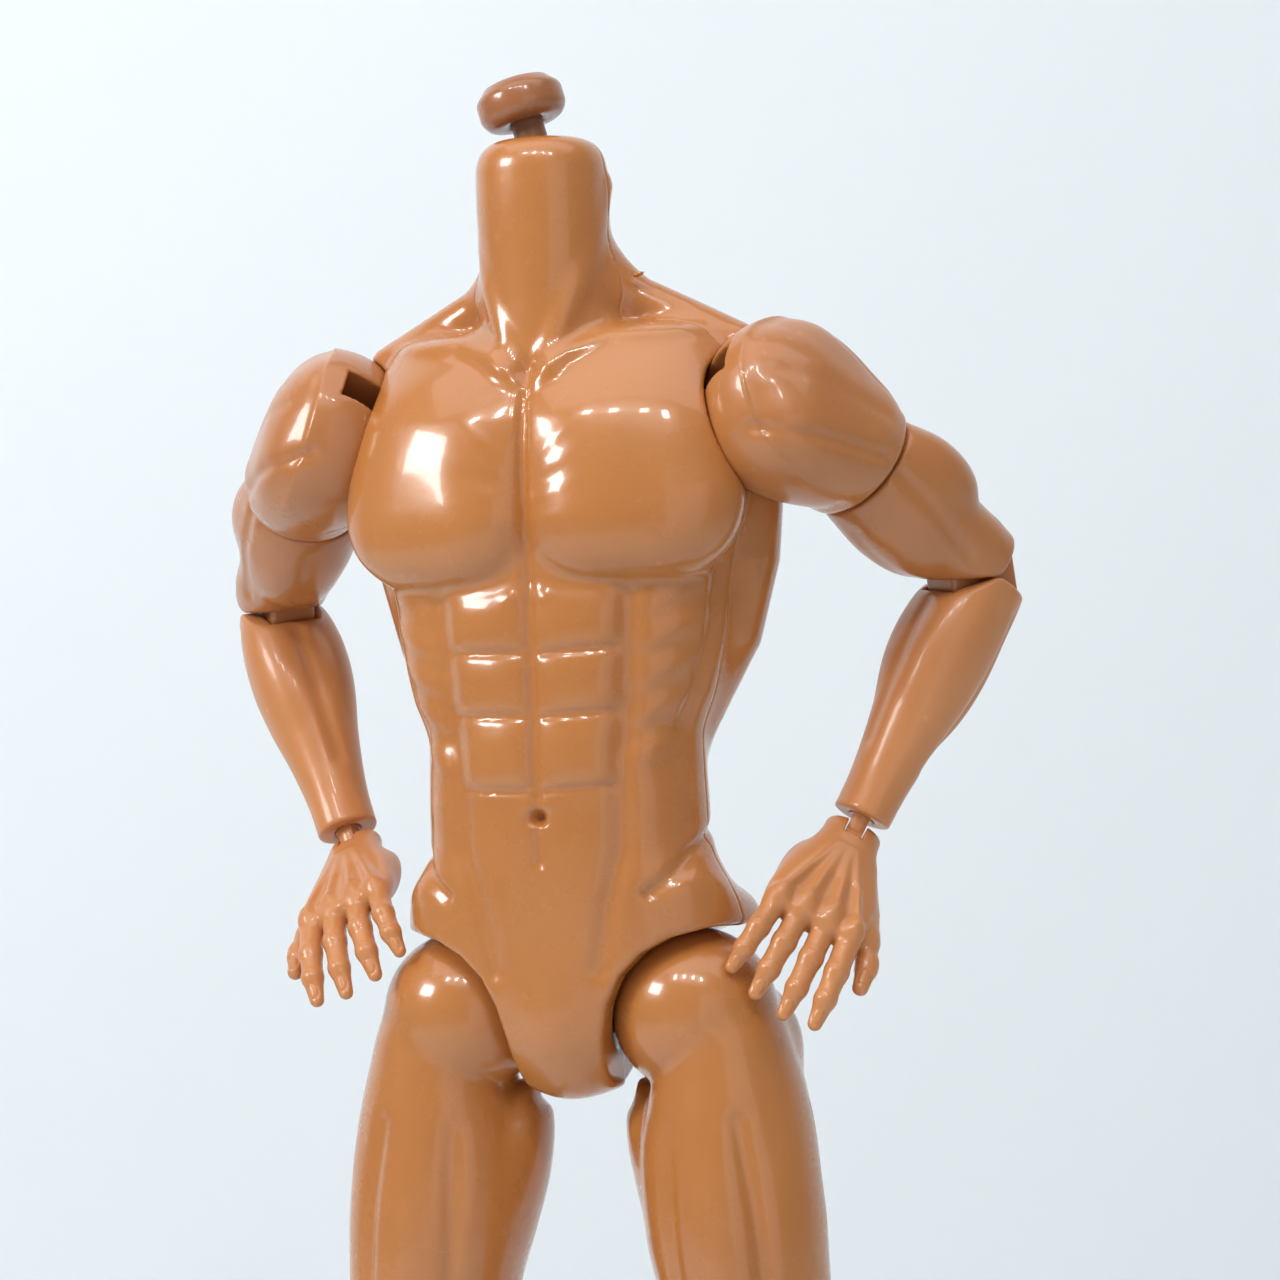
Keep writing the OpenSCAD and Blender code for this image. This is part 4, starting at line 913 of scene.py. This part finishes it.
def steel(name):
    """Drawn steel wire: fine grey mottle and uneven gloss."""
    material = bpy.data.materials.new(name)
    material.use_nodes = True
    tree = material.node_tree
    shader = tree.nodes["Principled BSDF"]
    place = tree.nodes.new("ShaderNodeTexCoord")
    streak = tree.nodes.new("ShaderNodeTexNoise")
    streak.inputs["Scale"].default_value = 900
    streak.inputs["Detail"].default_value = 3
    tree.links.new(place.outputs["Object"], streak.inputs["Vector"])
    ramp = tree.nodes.new("ShaderNodeValToRGB")
    ramp.color_ramp.elements[0].color = (0.42, 0.43, 0.45, 1)
    ramp.color_ramp.elements[1].color = (0.66, 0.67, 0.69, 1)
    tree.links.new(streak.outputs["Fac"], ramp.inputs["Fac"])
    tree.links.new(ramp.outputs["Color"], shader.inputs["Base Color"])
    rough = tree.nodes.new("ShaderNodeMapRange")
    rough.inputs["To Min"].default_value = 0.22
    rough.inputs["To Max"].default_value = 0.42
    tree.links.new(streak.outputs["Fac"], rough.inputs["Value"])
    tree.links.new(rough.outputs["Result"], shader.inputs["Roughness"])
    shader.inputs["Metallic"].default_value = 1.0
    return material


SKIN = plastic("torso_plastic", (0.50, 0.185, 0.046), (0.44, 0.155, 0.036), 0.25, 0.55, 0.10)
LIMB = plastic("limb_plastic", (0.48, 0.18, 0.052), (0.42, 0.15, 0.042), 0.29, 0.4, 0.14)
SOFT = plastic("soft_plastic", (0.58, 0.23, 0.078), (0.51, 0.195, 0.062), 0.34, 0.2, 0.2)
PLUG = plastic("plug_plastic", (0.36, 0.13, 0.045), (0.31, 0.11, 0.037), 0.25, 0.4, 0.1)
HUB = plastic("joint_plastic", (0.30, 0.12, 0.045), (0.25, 0.10, 0.038), 0.4, 0.1, 0.2)
STEEL = steel("pin_steel")


def finish(piece, body, nodes, material):
    piece.data.materials.clear()
    piece.data.materials.append(material)
    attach(piece, body)
    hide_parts(*nodes)


# ---------- camera, light and stage ----------

AZIMUTH, ROLL, DISTANCE = 18.0, 2.5, 0.450
LENS = 98.1
# Point on the body's axis at the waist, and where it stands from the middle of the view
WAIST = np.array((0, SEAM_Y, 175.2)) * MM
WAIST_RIGHT, WAIST_UP = -0.00903, -0.02064


def add_camera():
    a = math.radians(AZIMUTH)
    level = Matrix(((math.cos(a), 0, math.sin(a)), (math.sin(a), 0, -math.cos(a)), (0, 1, 0)))
    turn = level @ Matrix.Rotation(math.radians(-ROLL), 3, "Z")
    right, up, back = (Vector(turn.col[k]) for k in range(3))
    data = bpy.data.cameras.new("camera")
    data.lens = LENS
    data.sensor_width = 36
    data.clip_start, data.clip_end = 0.01, 10
    camera = bpy.data.objects.new("camera", data)
    place = Vector(WAIST) + back * DISTANCE - right * WAIST_RIGHT - up * WAIST_UP
    camera.matrix_world = Matrix.Translation(place) @ turn.to_4x4()
    bpy.context.collection.objects.link(camera)
    bpy.context.scene.camera = camera
    return place


def add_light(name, place, aim, size, power, colour=(1, 1, 1)):
    data = bpy.data.lights.new(name, "AREA")
    data.shape = "RECTANGLE"
    data.size, data.size_y = size
    data.energy = power
    data.color = colour
    light = bpy.data.objects.new(name, data)
    light.location = place
    light.rotation_euler = (Vector(aim) - Vector(place)).to_track_quat("-Z", "Y").to_euler()
    bpy.context.collection.objects.link(light)


def plain_paint(name, colour):
    """Matt paint with a faint mottle."""
    material = bpy.data.materials.new(name)
    material.use_nodes = True
    tree = material.node_tree
    shader = tree.nodes["Principled BSDF"]
    noise = tree.nodes.new("ShaderNodeTexNoise")
    noise.inputs["Scale"].default_value = 6
    ramp = tree.nodes.new("ShaderNodeValToRGB")
    ramp.color_ramp.elements[0].color = (*[c * 0.97 for c in colour], 1)
    ramp.color_ramp.elements[1].color = (*colour, 1)
    tree.links.new(noise.outputs["Fac"], ramp.inputs["Fac"])
    tree.links.new(ramp.outputs["Color"], shader.inputs["Base Color"])
    shader.inputs["Roughness"].default_value = 0.8
    return material


def add_stage():
    """Pale floor that curves up into a pale wall behind."""
    half, near, wall, height, bend = 1.6, -1.2, 0.26, 1.4, 0.06
    profile = [(near, 0.0)]
    for k in range(9):
        a = math.radians(90 * k / 8)
        profile.append((wall - bend + bend * math.sin(a), bend - bend * math.cos(a)))
    profile.append((wall, height))
    vertices = [(x, y, z) for y, z in profile for x in (-half, half)]
    faces = [(2 * k, 2 * k + 1, 2 * k + 3, 2 * k + 2) for k in range(len(profile) - 1)]
    mesh = bpy.data.meshes.new("stage")
    mesh.from_pydata(vertices, [], faces)
    mesh.shade_smooth()
    stage = bpy.data.objects.new("stage", mesh)
    bpy.context.collection.objects.link(stage)
    turn = Matrix.Rotation(math.radians(AZIMUTH), 4, "Z")
    mesh.transform(turn)
    mesh.materials.append(plain_paint("stage_paint", (0.80, 0.84, 0.86)))


def light_scene():
    chest = (0, SEAM_Y * MM, 0.21)
    add_light("window", (-0.42, -0.42, 0.50), chest, (0.22, 0.16), 2.3, (0.97, 0.99, 1.0))
    for k in range(4):
        add_light(f"ceiling_{k}", (-0.10 + 0.11 * k, -0.34, 0.58), chest, (0.035, 0.05), 0.28)
    add_light("fill", (0.50, -0.55, 0.22), chest, (0.5, 0.6), 0.55, (0.96, 0.98, 1.0))
    add_light("back", (-0.30, 0.95, 0.55), chest, (0.5, 0.4), 4.0)
    add_light("low_fill", (0.0, -0.5, 0.05), (0, 0, 0.13), (0.6, 0.2), 0.08)
    add_light("wall_wash", (0.1, -0.1, 0.9), (0.05, 0.24, 0.2), (1.2, 0.5), 2.6)
    world = bpy.data.worlds.new("world")
    world.use_nodes = True
    world.node_tree.nodes["Background"].inputs["Color"].default_value = (0.90, 0.95, 1.0, 1)
    world.node_tree.nodes["Background"].inputs["Strength"].default_value = 0.30
    bpy.context.scene.world = world
    bpy.context.scene.view_settings.view_transform = "Standard"


# ---------- the doll ----------

def build_torso(step):
    vertices, faces = surface(torso_field, (-30, -19 + SEAM_Y, 136), (30, 19 + SEAM_Y, 262), step)
    front = halve("chest_shell", vertices, faces, -1)
    back = halve("back_shell", vertices, faces, 1)
    finish(front, "torso", ["torso_front"], SKIN)
    finish(back, "torso", ["torso_back"], SKIN)


def build_plug():
    turn_axis = Vector(JOINTS["plug_turn"]["axis"])
    place = axes_at(NECK_BALL, np.array((0, 1.0, 0)), np.array(turn_axis))
    low, high = 7.2, 12.8
    r = 5.7
    profile = [(0.0, high), (2.6, high), (3.6, high - 0.04), (4.25, high - 0.25), (4.7, high - 0.75),
               (5.25, high - 1.25), (5.55, high - 1.65), (r, high - 2.1), (r, low + 1.7),
               (5.6, low + 1.3), (5.3, low + 0.75), (4.9, low + 0.3), (4.4, low + 0.05),
               (2.75, low), (2.2, low + 0.2), (2.15, low + 4.0), (0.0, low + 4.1)]
    piece = lathe("neck_knob", profile[::-1], place)
    finish(piece, "plug", ["head_plug"], PLUG)


LIMB_PIECES = [
    # part, body, field, lowest and highest corner, step, slot, material
    ("deltoid", "shoulder", deltoid_field, (-13, -13, -14), (12, 13, 14), 0.34, "torso_plastic", LIMB),
    ("upper_arm", "arm", upper_arm_field, (-10, -11, -41), (10, 11, -11), 0.36, "torso_plastic", LIMB),
    ("elbow", "elbow", lambda p: knuckle_field(p, ELBOW, ELBOW_PITCH), (-4, -6, -11), (4, 6, 6),
     0.3, "torso_plastic", LIMB),
    ("forearm", "lower_arm", forearm_field, (-9, -9, -35), (9, 9, 7), 0.36, "limb_plastic", SOFT),
    ("hand", "palm", hand_field, (-13, -14, -31), (10, 6, 4), 0.24, "limb_plastic", SOFT),
    ("thigh", "upper_leg", thigh_field, (-15, -16, -75), (17, 16, 12), 0.5, "torso_plastic", SKIN),
    ("knee", "knee", lambda p: knuckle_field(p, KNEE, KNEE_PITCH), (-4, -8, -16), (4, 8, 8),
     0.4, "torso_plastic", SKIN),
    ("shin", "lower_leg", shin_field, (-12, -12, -53), (12, 13, 9), 0.5, "torso_plastic", SKIN),
    ("foot", "sole", foot_field, (-11, -37, -1), (11, 12, 20), 0.4, "torso_plastic", SKIN),
]
NODE_NAMES = {"elbow": "elbow_knuckle", "knee": "knee_knuckle"}


def build_limbs(scale):
    for part, body, field, low, high, step, slot, material in LIMB_PIECES:
        vertices, faces = surface(field, low, high, step * scale)
        for side in SIDES:
            piece = mesh_object(f"{part}_skin_{side}", vertices, faces, PLACES[side][part],
                                side == "right")
            node = f"{NODE_NAMES.get(part, part)}_{side}"
            finish(piece, f"{body}_{side}", [node], material)


def paint_frame():
    """Finish of the CAD nodes that stay: pins, pegs, hubs and the stem."""
    for name, node in frame["nodes"].items():
        material = STEEL if "pin" in name else HUB
        if "wrist_peg" in name or "ankle_peg" in name:
            material = SOFT if "wrist" in name else SKIN
        node.data.materials.clear()
        node.data.materials.append(material)


scale = 1.0
paint_frame()
build_torso(0.42 * scale)
build_plug()
build_limbs(scale)
add_camera()
add_stage()
light_scene()
